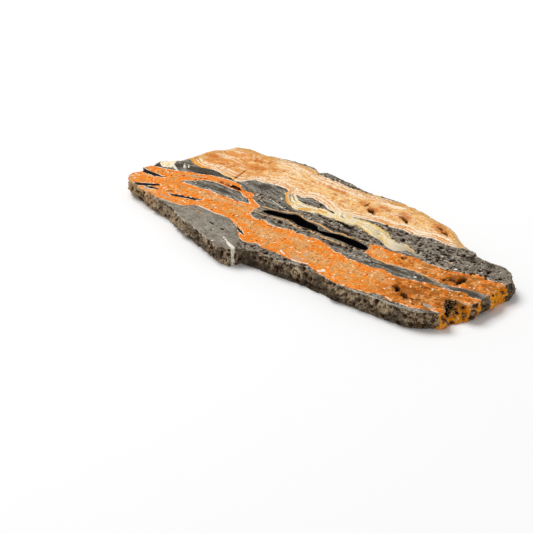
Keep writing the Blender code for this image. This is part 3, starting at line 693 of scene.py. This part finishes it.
def hollow_depth(points, vugs):
    """Depth of the hollows under each point of a face, with ragged outlines and uneven floors."""
    ragged = unevenness(points, HOLLOW_EDGE_GRAIN)
    uneven = 1.0 + unevenness(points, HOLLOW_FLOOR_GRAIN)
    depth = np.zeros(len(points))
    for x, y, length, width, turn, deepest in vugs:
        out = np.hypot(*oval_place(points, x, y, 0.5 * length, 0.5 * width, turn)) + ragged
        depth = np.maximum(depth, deepest * uneven * np.clip((1.15 - out) / 0.6, 0.0, 1.0))
    return depth


def bedding(points):
    """How far each point lies above the layer that runs through the slab's middle."""
    trend_x, trend_y = zip(*LAYER_TREND)
    return points[:, 1] - np.interp(points[:, 0], trend_x, trend_y)


def stone_fields(points):
    """Everything the material reads, for points on the slab's grid: distances and shares by name."""
    cream = in_any(points, [CREAM_BAND] + CREAM_LUMPS)
    cream = np.minimum(cream, -in_any(points, [DARK_EYE] + BACK_CRUST))
    orange = in_any(points, [MAIN_ORANGE, RIGHT_ORANGE])
    orange = np.minimum(orange, -signed_distance(points, GREY_LENS))
    slivers = in_any(points, DARK_SLIVERS)
    fields = {
        "cream": cream,
        "orange": np.minimum(orange, -0.15 - slivers),
        "back": distance_to_line(points, BACK_EDGE),
        "nodule": np.linalg.norm(points - np.array(NODULE_MIDDLE), axis=1),
        "smooth_grey": signed_distance(points, SMOOTH_GREY),
        "rust": soft_blotches(points, RUST_BLOTCHES),
        "bubbly": soft_blotches(points, BUBBLY_GREY),
        "pale_orange": soft_blotches(points, PALE_ORANGE),
        "dark": np.maximum(0.8 * soft_blotches(points, DARK_BLOTCHES), np.clip(1.0 + slivers, 0.0, 1.0)),
        "bedding": bedding(points),
    }
    for name, (lines, _, _) in LINES.items():
        covers = [line_cover(points, line, half_width) for line, half_width in lines]
        fields[name] = np.max(covers, axis=0)
    return fields


def rim_points(loop, normals, step):
    """The rim's points row by row, with how far each stands out and how much painted shade its pits and
    bites get.
    """
    base = np.array(loop)
    along = np.arange(len(loop)) * step
    rows = []
    for row in range(RIM_ROWS + 1):
        share = row / RIM_ROWS
        height = np.full(len(base), THICKNESS * (1.0 - share))
        belly = math.sin(math.pi * share)
        places = np.column_stack([base[:, :2], height])
        broad = np.array([rim_relief(*place) for place in places])
        fine = unevenness(places, RIM_GRAIN)
        pits = np.max([pit_depth(along, height, kind) for kind in RIM_PITS], axis=0)
        bite = bite_depth(places) * (1.0 + unevenness(places, BITE_GRAIN))
        broad_share = EDGE_SHARE + (1.0 - EDGE_SHARE) * belly
        from_edge = min(1.0, 5.0 * min(share, 1.0 - share))
        fine_share = FINE_EDGE_SHARE + (1.0 - FINE_EDGE_SHARE) * from_edge
        out = base[:, 3] * belly ** 2 - base[:, 2] * share ** 3
        out += broad_share * broad + fine_share * (fine - pits) - bite
        xy = base[:, :2] + normals * out[:, None]
        proud = fine - 0.8 * pits - 0.15 * bite
        # Painted shade in the rim's pits and bites.
        hollow_shade = np.clip(0.7 * pits + 0.15 * bite, 0.0, 1.0)
        rows.append((np.column_stack([xy, height]), proud, hollow_shade))
    return rows


def cleft_points(loop, normals):
    """The cleft's wall row by row, which opens out under the top face."""
    base = np.array(loop)
    rows = []
    for row in range(RIM_ROWS + 1):
        share = row / RIM_ROWS
        height = np.full(len(base), THICKNESS * (1.0 - share))
        places = np.column_stack([base, height])
        broad = np.array([rim_relief(*place) for place in places])
        undercut = CLEFT_UNDERCUT + 0.5 * broad + unevenness(places, CLEFT_GRAIN)
        xy = base + normals * (math.sin(math.pi * share) * undercut)[:, None]
        # The cleft's whole wall gets full painted shade.
        rows.append((np.column_stack([xy, height]), broad, np.ones(len(base))))
    return rows


def face_grid(rim, cleft, spacing):
    """Staggered grid points on a face, a little clear of its borders."""
    xs = np.arange(*GRID_X, spacing)
    ys = np.arange(*GRID_Y, spacing * GRID_ROW_SHARE)
    grid_x, grid_y = np.meshgrid(xs, ys)
    grid_x = grid_x + 0.5 * spacing * (np.arange(len(ys)) % 2)[:, None]
    points = np.column_stack([grid_x.ravel(), grid_y.ravel(), np.zeros(grid_x.size)])
    jitter_x = hashed(points[:, 0] * 13.0, points[:, 1] * 17.0, 1) - 0.5
    jitter_y = hashed(points[:, 0] * 19.0, points[:, 1] * 11.0, 2) - 0.5
    points[:, 0] += GRID_JITTER * spacing * jitter_x
    points[:, 1] += GRID_JITTER * spacing * jitter_y
    points = points[inside(points, rim) & ~inside(points, cleft)]
    near_rim = distance_to_line(points, rim[::3], closed=True) < spacing * GRID_CLEARANCE
    near_cleft = distance_to_line(points, cleft[::2], closed=True) < spacing * GRID_CLEARANCE
    return points[~(near_rim | near_cleft)]


def face_relief(points, vugs, rim, cleft):
    """How far each point of a sawn face lies under it, how much painted shade its hollows, bubbles and
    pits get, and how far the edge is.
    """
    fields = stone_fields(points)
    u, v = points[:, 0], points[:, 1]
    sound = np.clip(fields["smooth_grey"] / BLOCK_FADE, 0.0, 1.0)
    on_orange, on_cream = [np.clip(fields[rock] / BAND_FADE, 0.0, 1.0) for rock in ("orange", "cream")]
    on_grey = (1.0 - on_orange) * (1.0 - on_cream) * (1.0 - 0.85 * sound)
    bubbly = on_grey * (0.25 + 0.75 * np.clip(2.0 * fields["bubbly"], 0.0, 1.0))
    bubbles = bubbly * np.maximum(pit_depth(0.6 * u, v, LONG_BUBBLES), pit_depth(u, v, ROUND_BUBBLES))
    grit = on_orange * (pit_depth(u, v, ORANGE_PITS) + np.abs(unevenness(points, ORANGE_GRAIN)))
    dimples = on_cream * (pit_depth(u, v, CREAM_PITS) + np.abs(unevenness(points, CREAM_GRAIN)))
    to_borders = [distance_to_line(points, border[::2], closed=True) for border in (rim, cleft)]
    edge = np.min(to_borders, axis=0)
    near_edge = np.clip(1.0 - edge / CHIP_REACH, 0.0, 1.0)
    chips = near_edge * np.clip(unevenness(points, CHIP_GRAIN) + 0.12, 0.0, 0.5)
    hollows = hollow_depth(points, vugs)
    cracks = CRACK_DEPTH * np.clip(fields["black_lines"] / CRACK_HALF_WIDTH, 0.0, 1.0)
    small = bubbles + grit + dimples
    depth = hollows + small * (hollows < 0.4) + chips + cracks
    # The second value is painted shade, more the deeper a hollow, bubble or pit.
    return depth, np.clip(0.34 * hollows + 1.5 * bubbles + 0.8 * (grit + dimples), 0.0, 1.0), edge


class Shell:
    """Gathers the vertices and faces of the slab, and what the material reads at each vertex."""

    def __init__(self):
        self.places, self.faces = [], []
        self.fields = {"rim": [], "proud": [], "hollow_shade": [], "edge": []}

    def add(self, places, **values):
        """Adds vertices, with the fields that aren't zero there, and returns their numbers."""
        first = len(self.places)
        self.places += [tuple(place) for place in places]
        for name, stored in self.fields.items():
            stored.extend(np.broadcast_to(values.get(name, 0.0), len(places)))
        return list(range(first, first + len(places)))

    def wall(self, rows, upper, lower):
        """Joins two border rings by the rows of points between them."""
        middle = [self.add(p, rim=1.0, proud=proud, hollow_shade=hollow_shade) for p, proud, hollow_shade in rows[1:-1]]
        rings = [upper] + middle + [lower]
        for above, below in zip(rings, rings[1:]):
            for n in range(len(above)):
                after = (n + 1) % len(above)
                self.faces.append((above[n], below[n], below[after], above[after]))

    def face(self, borders, inner, facing_up):
        """Triangles between the border rings of one face and the points inside it."""
        numbers, edges = [], []
        for border in borders:
            first = len(numbers)
            numbers += border
            edges += [(first + n, first + (n + 1) % len(border)) for n in range(len(border))]
        numbers += inner
        flat = [Vector(self.places[n][:2]) for n in numbers]
        placed, _, triangles, _, _, _ = delaunay_2d_cdt(flat, edges, [], 1, 0.00001)
        if len(placed) != len(flat):
            raise ValueError("an outline of the face crosses itself")
        corners = np.array(triangles)
        middles = np.array([v[:] for v in flat])[corners].mean(axis=1)
        in_cleft = inside(middles, [self.places[n][:2] for n in borders[1]])
        for triangle in corners[~in_cleft]:
            face = [numbers[n] for n in triangle]
            self.faces.append(tuple(face) if facing_up else tuple(reversed(face)))


def build_shell():
    """The whole fine surface of the slab, closed."""
    rim_loop = even_steps(trim_corners(RIM_OUTLINE, CORNER_TRIM), RIM_STEP)
    cleft_loop = even_steps(trim_corners(CLEFT_OUTLINE, CORNER_TRIM), CLEFT_STEP)
    rim_rows = rim_points(rim_loop, outward_normals(rim_loop, RIM_STEP), RIM_STEP)
    cleft_rows = cleft_points(cleft_loop, outward_normals(cleft_loop, CLEFT_STEP * 2.0))
    shell = Shell()
    rings = []
    for row, vugs, spacing, height, up in (
        (0, TOP_VUGS, TOP_GRID, THICKNESS, 1.0),
        (-1, UNDERSIDE_VUGS, UNDERSIDE_GRID, 0.0, -1.0),
    ):
        rim_ring, cleft_ring = rim_rows[row][0], cleft_rows[row][0]
        outlines = [[tuple(p[:2]) for p in ring] for ring in (rim_ring, cleft_ring)]
        rim_numbers = shell.add(rim_ring, rim=0.3, proud=rim_rows[row][1])
        # The cleft's edge on each face gets some painted shade.
        cleft_numbers = shell.add(cleft_ring, hollow_shade=0.4)
        grid = face_grid(*outlines, spacing)
        depth, hollow_shade, edge = face_relief(grid, vugs, *outlines)
        grid[:, 2] = height - up * depth
        inner = shell.add(grid, hollow_shade=hollow_shade, edge=edge)
        shell.face([rim_numbers, cleft_numbers], inner, up > 0.0)
        rings.append((rim_numbers, cleft_numbers))
    for rows, upper, lower in zip((rim_rows, cleft_rows), *rings):
        shell.wall(rows, upper, lower)
    return shell


def make_slab():
    """The detailed slab, with its fields stored on the mesh."""
    shell = build_shell()
    places = np.array(shell.places)
    data = bpy.data.meshes.new("jasper_slab")
    shift = np.array([FOOTPRINT_CENTRE[0], FOOTPRINT_CENTRE[1], 0.0])
    data.from_pydata([tuple(p) for p in (places - shift) * MM], [], shell.faces)
    fields = stone_fields(places)
    fields.update(shell.fields)
    for name, values in fields.items():
        stored = data.attributes.new(name, "FLOAT", "POINT")
        stored.data.foreach_set("value", np.asarray(values, np.float32))
    mesh = bmesh.new()
    mesh.from_mesh(data)
    bmesh.ops.recalc_face_normals(mesh, faces=mesh.faces)
    mesh.to_mesh(data)
    mesh.free()
    data.shade_smooth()
    slab = bpy.data.objects.new("jasper_slab", data)
    bpy.context.collection.objects.link(slab)
    return slab


class Nodes:
    """Short names for the shader nodes that the stone uses, and the patterns that its colours share."""

    def __init__(self, material):
        material.use_nodes = True
        self.tree = material.node_tree
        self.shader = self.tree.nodes["Principled BSDF"]

        self.mm = self.vector("SCALE", self.new("TexCoord").outputs["Object"], 1.0 / MM)
        self.x, self.z = self.axes(self.mm)
        swirl = self.vector("SCALE", self.noise(self.mm, 1.8, 2.0, "Color"), 2.0)
        self.warped = self.vector("ADD", self.mm, swirl)
        self.elsewhere = self.vector("ADD", self.warped, (9.0, 5.0, 0.0))
        along, down = self.times(self.x, 0.15), self.times(self.z, 0.2)
        self.layers = self.combine(along, self.field("bedding"), down)
        self.coarse = self.noise(self.mm, 4.0)
        self.middle = self.noise(self.warped, 2.1, 2.0)
        self.fine = self.noise(self.warped, 0.95, 2.0)
        self.grain = self.noise(self.mm, 0.5, 2.0)
        self.mottled = self.times(self.add(self.middle, self.fine), 0.5)
        self.wobble = self.times(self.add(self.noise(self.mm, 1.0), -0.5), 0.9)

    def new(self, kind):
        return self.tree.nodes.new("ShaderNode" + kind)

    def put(self, socket, value):
        """Links a socket into another, or sets a plain value on it."""
        if isinstance(value, bpy.types.NodeSocket):
            self.tree.links.new(value, socket)
        else:
            socket.default_value = value

    def field(self, name):
        """A number stored on the mesh."""
        node = self.new("Attribute")
        node.attribute_name = name
        return node.outputs["Fac"]

    def math(self, operation, first, second=0.0):
        node = self.new("Math")
        node.operation = operation
        self.put(node.inputs[0], first)
        self.put(node.inputs[1], second)
        return node.outputs[0]

    def add(self, first, second):
        return self.math("ADD", first, second)

    def times(self, first, second):
        return self.math("MULTIPLY", first, second)

    def vector(self, operation, first, second):
        node = self.new("VectorMath")
        node.operation = operation
        self.put(node.inputs[0], first)
        self.put(node.inputs["Scale" if operation == "SCALE" else 1], second)
        return node.outputs["Vector"]

    def axes(self, vector):
        """The X and the Z of a vector."""
        node = self.new("SeparateXYZ")
        self.put(node.inputs[0], vector)
        return node.outputs["X"], node.outputs["Z"]

    def combine(self, x, y, z):
        node = self.new("CombineXYZ")
        for socket, value in zip(node.inputs, (x, y, z)):
            self.put(socket, value)
        return node.outputs["Vector"]

    def noise(self, vector, size, detail=3.0, output="Fac"):
        """Noise with features of the given size in millimetres."""
        node = self.new("TexNoise")
        self.put(node.inputs["Vector"], vector)
        node.inputs["Scale"].default_value = 1.0 / size
        node.inputs["Detail"].default_value = detail
        node.inputs["Roughness"].default_value = 0.6
        return node.outputs[output]

    def step(self, value, low, high):
        """0 at low and 1 at high with a smooth change between; low may be the greater of the two."""
        node = self.new("MapRange")
        node.interpolation_type = "SMOOTHSTEP"
        node.inputs["From Min"].default_value = min(low, high)
        node.inputs["From Max"].default_value = max(low, high)
        node.inputs["To Min"].default_value = 0.0 if low < high else 1.0
        node.inputs["To Max"].default_value = 1.0 if low < high else 0.0
        self.put(node.inputs["Value"], value)
        return node.outputs["Result"]

    def cells(self, vector, size):
        """A cell pattern: how far each place is from its cell's middle, and a number of the cell's own."""
        node = self.new("TexVoronoi")
        self.put(node.inputs["Vector"], vector)
        node.inputs["Scale"].default_value = 1.0 / size
        shade = self.new("SeparateColor")
        self.put(shade.inputs[0], node.outputs["Color"])
        return node.outputs["Distance"], shade.outputs[0]

    def flecks(self, vector, size, reach, share):
        """Spots scattered over the stone: 1 inside a spot and 0 outside."""
        away, shade = self.cells(vector, size)
        return self.times(self.math("LESS_THAN", shade, share), self.step(away, reach, 0.6 * reach))

    def contour(self, value, level, half_width):
        """Thin curved lines where a noise passes a level."""
        away = self.math("ABSOLUTE", self.math("SUBTRACT", value, level))
        return self.step(away, half_width, 0.5 * half_width)

    def edged(self, name):
        """A field turned into a crisp, slightly ragged share."""
        return self.step(self.add(self.field(name), self.wobble), -0.12, 0.12)

    def blend(self, share, first, second):
        """A colour between two, each a socket or an sRGB colour."""
        node = self.new("Mix")
        node.data_type = "RGBA"
        self.put(node.inputs["Factor"], share)
        for socket, colour in ((node.inputs["A"], first), (node.inputs["B"], second)):
            self.put(socket, colour if isinstance(colour, bpy.types.NodeSocket) else linear(colour))
        return node.outputs["Result"]

    def over(self, colour, *coats):
        """A colour with coats laid on in turn: where each lies, how well it covers, and its colour."""
        for place, cover, coat in coats:
            colour = self.blend(self.times(place, cover), colour, coat)
        return colour


def grey_rock(n):
    """Volcanic grey: flow lines, bubbles with pale linings where it is bubbly, one smooth paler block."""
    flow = n.noise(n.layers, 1.0, 4.0)
    pale_spots = n.flecks(n.warped, 1.5, 0.34, 0.30)
    black_spots = n.flecks(n.elsewhere, 1.6, 0.34, 0.30)
    grey = n.over(
        n.blend(n.step(n.middle, 0.44, 0.55), n.blend(0.5, GREY, GREY_DARK), GREY),
        (n.step(n.coarse, 0.50, 0.60), 0.7, GREY_BLUE),
        (n.step(flow, 0.53, 0.58), 0.8, GREY_LIGHT),
        (n.contour(n.fine, 0.5, 0.02), 0.45, GREY_LIGHT),
        (n.step(flow, 0.45, 0.40), 0.85, GREY_DARK),
        (pale_spots, 0.7, SPECK),
        (black_spots, 0.8, BLACK),
    )
    bubbly = n.over(
        n.blend(n.step(n.middle, 0.44, 0.56), BUBBLY, GREY),
        (n.step(n.fine, 0.54, 0.59), 0.6, GREY_LIGHT),
        (n.step(n.fine, 0.45, 0.40), 0.7, GREY_DARK),
        (pale_spots, 0.95, SPECK),
        (black_spots, 1.0, BLACK),
    )
    paler_inside = n.add(n.coarse, n.times(n.field("smooth_grey"), 0.02))
    smooth = n.over(
        n.blend(n.step(paler_inside, 0.40, 0.90), GREY, GREY_LIGHT),
        (n.step(flow, 0.53, 0.58), 0.45, GREY_PALE),
        (n.step(n.fine, 0.42, 0.38), 0.5, GREY_DARK),
        (n.step(n.grain, 0.42, 0.34), 0.6, GREY_DARK),
    )
    return n.over(
        grey,
        (n.step(n.field("bubbly"), 0.1, 0.5), 1.0, bubbly),
        (n.step(n.field("smooth_grey"), 0.0, 0.8), 1.0, smooth),
        (n.step(n.field("dark"), 0.15, 0.6), 0.85, GREY_DARK),
        (n.step(n.field("dark"), 0.85, 0.98), 1.0, BLUE_BLACK),
    )


def orange_rock(n):
    """Orange with tan patches, pale lines and brown specks, streaky and browner towards the right."""
    right = n.times(n.step(n.x, *BROWNER_ORANGE), 0.85)
    flow = n.noise(n.layers, 0.8, 3.0)
    away, shade = n.cells(n.warped, 3.4)
    fragment = n.times(n.step(shade, 0.70, 0.72), n.step(away, 0.55, 0.42))
    pale = n.step(n.add(n.field("pale_orange"), n.times(n.middle, 0.8)), 0.65, 1.1)
    inward = n.add(n.field("orange"), n.times(n.middle, -3.0))
    return n.over(
        n.blend(n.step(n.middle, 0.42, 0.56), ORANGE_DEEP, ORANGE),
        (n.step(n.coarse, 0.50, 0.54), 0.75, TAN),
        (fragment, 0.75, TAN),
        (pale, 0.75, n.blend(n.step(n.fine, 0.44, 0.54), TAN, ORANGE_TAN)),
        (n.step(inward, 1.2, -0.8), 0.85, ORANGE_DEEP),
        (n.step(n.fine, 0.58, 0.62), 0.75, ORANGE_PALE),
        (n.contour(n.middle, 0.5, 0.012), 0.7, ORANGE_PALE),
        (n.step(n.grain, 0.57, 0.62), 0.45, ORANGE_PALE),
        (n.step(n.grain, 0.42, 0.37), 0.4, OLIVE_BROWN),
        (n.step(n.coarse, 0.54, 0.45), right, OLIVE_BROWN),
        (n.times(right, n.step(flow, 0.54, 0.60)), 0.9, ORANGE_DEEP),
        (n.times(right, n.step(flow, 0.44, 0.39)), 0.8, RUST),
        (n.flecks(n.warped, 1.7, 0.34, 0.19), 0.85, CREAM_LIGHT),
        (n.step(n.fine, 0.37, 0.32), 0.65, BROWN),
        (n.flecks(n.elsewhere, 1.9, 0.30, 0.3), 0.9, BROWN),
    )


def cream_rock(n):
    """Cream with soft tan patches, thin sheets along its lower edge and olive ones along the back."""
    waves = n.add(n.field("cream"), n.times(n.coarse, 2.5))
    sheets = n.combine(n.times(n.x, 0.08), waves, n.times(n.z, 0.2))
    lines = n.noise(sheets, 1.5, 3.0)
    sheet = n.over(
        n.blend(n.step(lines, 0.45, 0.50), CREAM_TAN, CREAM_LIGHT),
        (n.step(lines, 0.40, 0.36), 0.8, CREAM_DEEP),
    )
    back_sheets = n.noise(n.combine(n.times(n.x, 0.1), n.field("back"), 0.0), 0.8)
    patches = n.add(n.coarse, n.times(n.step(n.x, *TANNER_CREAM), 0.14))
    cream = n.over(
        n.blend(n.step(n.middle, 0.42, 0.60), CREAM_TAN, CREAM),
        (n.step(patches, 0.53, 0.66), 0.75, CREAM_DEEP),
        (n.step(lines, 0.52, 0.60), 0.5, CREAM_LIGHT),
        (n.step(n.field("cream"), 6.5, 4.0), 0.9, sheet),
        (n.contour(waves, 2.4, 0.4), 0.7, CREAM_DEEP),
        (n.contour(waves, 4.0, 0.35), 0.6, CREAM_DEEP),
        (n.contour(waves, 1.7, 0.5), 0.8, WHITE),
        (n.times(n.step(n.field("back"), 4.4, 1.6), n.step(back_sheets, 0.58, 0.48)), 0.85, CREAM_OLIVE),
        (n.step(n.fine, 0.44, 0.38), 0.75, CREAM_DEEP),
        (n.step(n.fine, 0.36, 0.32), 0.5, RUST_ON_CREAM),
        (n.flecks(n.warped, 2.4, 0.24, 0.2), 0.7, BROWN),
    )
    streaks = n.noise(sheets, 0.9)
    tongue = n.over(
        n.blend(n.step(streaks, 0.44, 0.50), TONGUE_GREY, TONGUE),
        (n.step(streaks, 0.55, 0.60), 0.9, WHITE),
        (n.step(streaks, 0.38, 0.34), 0.9, GREY),
        (n.step(n.coarse, 0.46, 0.38), 0.7, PALE_YELLOW),
        (n.step(n.x, *GREYER_TONGUE), 0.75, GREY_LIGHT),
    )
    above = n.add(n.field("bedding"), n.times(n.step(n.x, *END_OF_TONGUE), 20.0))
    in_tongue = n.math("MAXIMUM", n.step(above, 17.5, 14.5), n.step(n.x, *PALE_LUMP))
    return n.blend(in_tongue, cream, tongue)


def sawn_stone(n, on_orange, on_cream):
    """The three rocks as the saw shows them, with the rinds, stains and lines between and over them."""
    rind = n.step(n.math("ABSOLUTE", n.add(n.field("orange"), n.wobble)), 0.24, 0.08)
    rind_whole = n.step(n.add(n.coarse, n.times(n.x, -0.0006)), 0.47, 0.55)
    rusty = n.add(n.field("rust"), n.times(n.add(n.mottled, -0.5), 3.6))
    stone = n.over(
        grey_rock(n),
        (on_orange, 1.0, orange_rock(n)),
        (rind, rind_whole, CREAM_LIGHT),
        (on_cream, 1.0, cream_rock(n)),
        (n.step(rusty, 0.42, 0.62), 0.75, n.blend(on_cream, RUST, RUST_ON_CREAM)),
    )
    unbroken = n.step(n.fine, 0.44, 0.52)
    for name, (_, colour, whole) in LINES.items():
        stone = n.over(stone, (n.edged(name), n.math("MAXIMUM", unbroken, whole), colour))
    # The saw leaves a thin bright line of bruised stone along the edges.
    bruised = n.times(n.step(n.field("edge"), 0.7, 0.2), n.step(n.coarse, 0.44, 0.54))
    return n.over(stone, (bruised, n.math("SUBTRACT", 0.5, n.field("hollow_shade")), SPECK))


def crust_tone_and_painted_light(n):
    """Painted light and shade on the broken rim by its shape, over a mottle of its own tone: lighter where
    it stands proud or faces up and left, darker in its pits, and paler towards the right end.
    """
    facing_x, facing_z = n.axes(n.new("NewGeometry").outputs["Normal"])
    # Painted light from above and the left: the rim lighter where it faces up or left, and paler towards
    # the right end.
    painted_rim_light = n.add(n.times(facing_z, 0.22), n.times(facing_x, -0.12))
    painted_rim_light = n.add(painted_rim_light, n.times(n.step(n.x, *PALER_RIM), 0.07))
    return n.add(n.mottled, n.add(n.times(n.field("proud"), 0.10), painted_rim_light))


def dull_crust(n, rim_tone_and_painted_light):
    """The rim's skin, with the ringed nodule and a pale ledge; painted shade darkens its pits, the parts
    that face down or right, and its lower part, and painted highlights lighten what stands proud or faces
    up and left.
    """
    # Painted shade: the rim darker towards its bottom everywhere, and over its lower half from the front
    # middle to the block, but none along the smooth block.
    lower_rim_shade = n.times(n.step(n.z, 7.0, 3.0), n.step(n.x, *DARKER_RIM))
    lower_rim_shade = n.times(n.add(lower_rim_shade, n.step(n.z, 4.5, 1.0)), n.step(n.x, *reversed(BLOCK_RIM)))
    ring = n.add(n.field("nodule"), n.wobble)
    ledge = n.times(n.step(n.x, *LEDGE_START), n.step(n.x, *LEDGE_END))
    return n.over(
        n.blend(n.step(n.cells(n.warped, 2.6)[1], 0.35, 0.65), CRUST_BROWN, CRUST),
        (n.step(n.x, *BLOCK_RIM), 0.7, CRUST_PINK),
        # Painted shade where the rim is low, pitted or facing away from the light, and painted highlight
        # where it stands proud or faces up and left.
        (n.step(rim_tone_and_painted_light, 0.49, 0.40), 0.85, CRUST_DARK_AND_SHADE),
        (n.step(rim_tone_and_painted_light, 0.53, 0.58), 0.65, CRUST_LIGHT_AND_HIGHLIGHT),
        (n.step(n.grain, 0.55, 0.61), 0.5, CRUST_LIGHT_AND_HIGHLIGHT),
        (n.step(n.grain, 0.44, 0.38), 0.65, CRUST_DARK_AND_SHADE),
        (n.contour(n.middle, 0.52, 0.016), 0.8, CRUST_LIGHT_AND_HIGHLIGHT),
        (n.flecks(n.mm, 1.7, 0.34, 0.30), 0.9, CRUST_DARK_AND_SHADE),
        (n.contour(n.middle, 0.45, 0.016), 1.0, CRUST_DARK_AND_SHADE),
        (n.step(n.noise(n.mm, 9.0), 0.52, 0.42), 0.6, CRUST_DARK_AND_SHADE),
        # Painted shade towards the rim's bottom.
        (lower_rim_shade, 0.4, CRUST_DARK_AND_SHADE),
        (n.step(ring, 3.3, 2.7), 0.85, CRUST_LIGHT_AND_HIGHLIGHT),
        (n.contour(ring, 1.9, 0.45), 0.9, CRUST_DARK_AND_SHADE),
        (n.step(ring, 0.8, 0.4), 1.0, CRUST_DARK_AND_SHADE),
        (n.step(n.x, *LEFT_END_RIM), 0.6, CRUST_TAN),
        (n.times(ledge, n.step(n.z, 5.6, 6.6)), 0.8, ORANGE_PALE),
    )


def ochre_crust(n, rim_tone_and_painted_light):
    """The ochre skin where the orange band meets the rim at the right end."""
    return n.over(
        # Painted shade and light: rust where the rim is low or faces away from the light, ochre where it
        # stands proud or faces up and left.
        n.blend(n.step(rim_tone_and_painted_light, 0.24, 0.36), RUST, OCHRE),
        (n.step(n.fine, 0.57, 0.62), 0.8, CREAM),
        (n.flecks(n.mm, 1.9, 0.34, 0.25), 1.0, BLACK),
    )


def stone_colour(n):
    """The sawn stone, its crusts on the rim, and painted shade in its hollows, pits and cleft."""
    on_orange, on_cream, on_rim = n.edged("orange"), n.edged("cream"), n.field("rim")
    near_end = n.times(n.step(n.x, *OCHRE_RIM), n.step(n.field("dark"), 0.5, 0.3))
    ochre = n.times(on_orange, near_end)
    veined = n.times(n.edged("white_veins"), n.step(n.fine, 0.36, 0.42))
    bare = n.math("MAXIMUM", n.times(veined, 0.9), n.times(on_cream, 0.6))
    crusted = n.math("SUBTRACT", 0.92, n.math("MAXIMUM", ochre, bare))
    rim_tone_and_painted_light = crust_tone_and_painted_light(n)

    on_cream_rim = n.times(n.times(on_rim, on_cream), 0.6)
    # Painted shade in the hollows, less of it on the cream rim.
    hollow_shade = n.times(n.field("hollow_shade"), n.math("SUBTRACT", 1.0, on_cream_rim))
    in_orange = n.times(on_orange, n.step(n.x, *ORANGE_HOLLOWS))
    cavity = n.blend(n.math("SUBTRACT", in_orange, on_rim), CAVITY, CAVITY_ORANGE)
    threads = n.times(n.contour(n.middle, 0.5, 0.02), n.times(on_rim, n.step(hollow_shade, 0.2, 0.4)))
    return n.over(
        sawn_stone(n, on_orange, on_cream),
        (on_rim, ochre, ochre_crust(n, rim_tone_and_painted_light)),
        (on_rim, crusted, dull_crust(n, rim_tone_and_painted_light)),
        # Painted shade: brown in shallow hollows, black in deep ones and through the cleft.
        (n.step(hollow_shade, 0.12, 0.5), 0.85, cavity),
        (n.step(n.add(hollow_shade, n.times(n.wobble, 0.6)), 0.45, 0.8), 1.0, BLACK),
        (n.times(threads, near_end), 0.8, CREAM_TAN),
    )


def stone_material():
    """Banded stone: cream, orange and grey rock, crusts on the rim, and a mottled roughness all over."""
    material = bpy.data.materials.new("banded_stone")
    n = Nodes(material)
    n.put(n.shader.inputs["Base Color"], stone_colour(n))
    n.put(n.shader.inputs["Roughness"], n.add(0.45, n.times(n.middle, 0.4)))
    n.shader.inputs["Specular IOR Level"].default_value = 0.03
    bump = n.new("Bump")
    bump.inputs["Strength"].default_value = 0.6
    bump.inputs["Distance"].default_value = 0.3 * MM
    n.put(bump.inputs["Height"], n.fine)
    n.put(n.shader.inputs["Normal"], bump.outputs["Normal"])
    return material


def make_floor():
    """A plain pale floor."""
    low, high = -FLOOR_HALF, FLOOR_HALF
    data = bpy.data.meshes.new("floor")
    corners = [(low, low, 0.0), (high, low, 0.0), (high, high, 0.0), (low, high, 0.0)]
    data.from_pydata(corners, [], [(0, 1, 2, 3)])
    floor = bpy.data.objects.new("floor", data)
    material = bpy.data.materials.new("floor_white")
    material.use_nodes = True
    shader = material.node_tree.nodes["Principled BSDF"]
    shader.inputs["Base Color"].default_value = (FLOOR_SHADE, FLOOR_SHADE, FLOOR_SHADE, 1.0)
    shader.inputs["Roughness"].default_value = 0.9
    data.materials.append(material)
    bpy.context.collection.objects.link(floor)


def make_camera():
    """The camera at the photograph's viewing angle."""
    data = bpy.data.cameras.new("camera")
    data.sensor_width = SENSOR_WIDTH
    data.lens = SENSOR_WIDTH / 2.0 / math.tan(math.radians(VIEW_ANGLE / 2.0))
    data.clip_start = 0.01
    camera = bpy.data.objects.new("camera", data)
    forward = Vector(CAMERA_FORWARD).normalized()
    right = Vector(CAMERA_RIGHT).normalized()
    up = right.cross(forward)
    turn = Matrix((right, up, -forward)).transposed().to_4x4()
    camera.matrix_world = Matrix.Translation(on_frame(*CAMERA_PLACE)) @ turn
    bpy.context.collection.objects.link(camera)
    bpy.context.scene.camera = camera


def make_light():
    """One soft studio light from above on the left, with a pale surround."""
    world = bpy.data.worlds.new("surround")
    world.use_nodes = True
    surround = world.node_tree.nodes["Background"]
    surround.inputs["Color"].default_value = (1.0, 1.0, 1.0, 1.0)
    surround.inputs["Strength"].default_value = SURROUND_STRENGTH
    bpy.context.scene.world = world
    data = bpy.data.lights.new("key", "AREA")
    data.size = LIGHT_SIZE
    data.energy = LIGHT_POWER
    light = bpy.data.objects.new("key", data)
    light.location = LIGHT_PLACE
    light.rotation_euler = (-Vector(LIGHT_PLACE)).to_track_quat("-Z", "Y").to_euler()
    bpy.context.collection.objects.link(light)
    bpy.context.scene.view_settings.view_transform = "Standard"


slab = make_slab()
slab.data.materials.append(stone_material())
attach(slab, "root")
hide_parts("slab")
make_floor()
make_camera()
make_light()
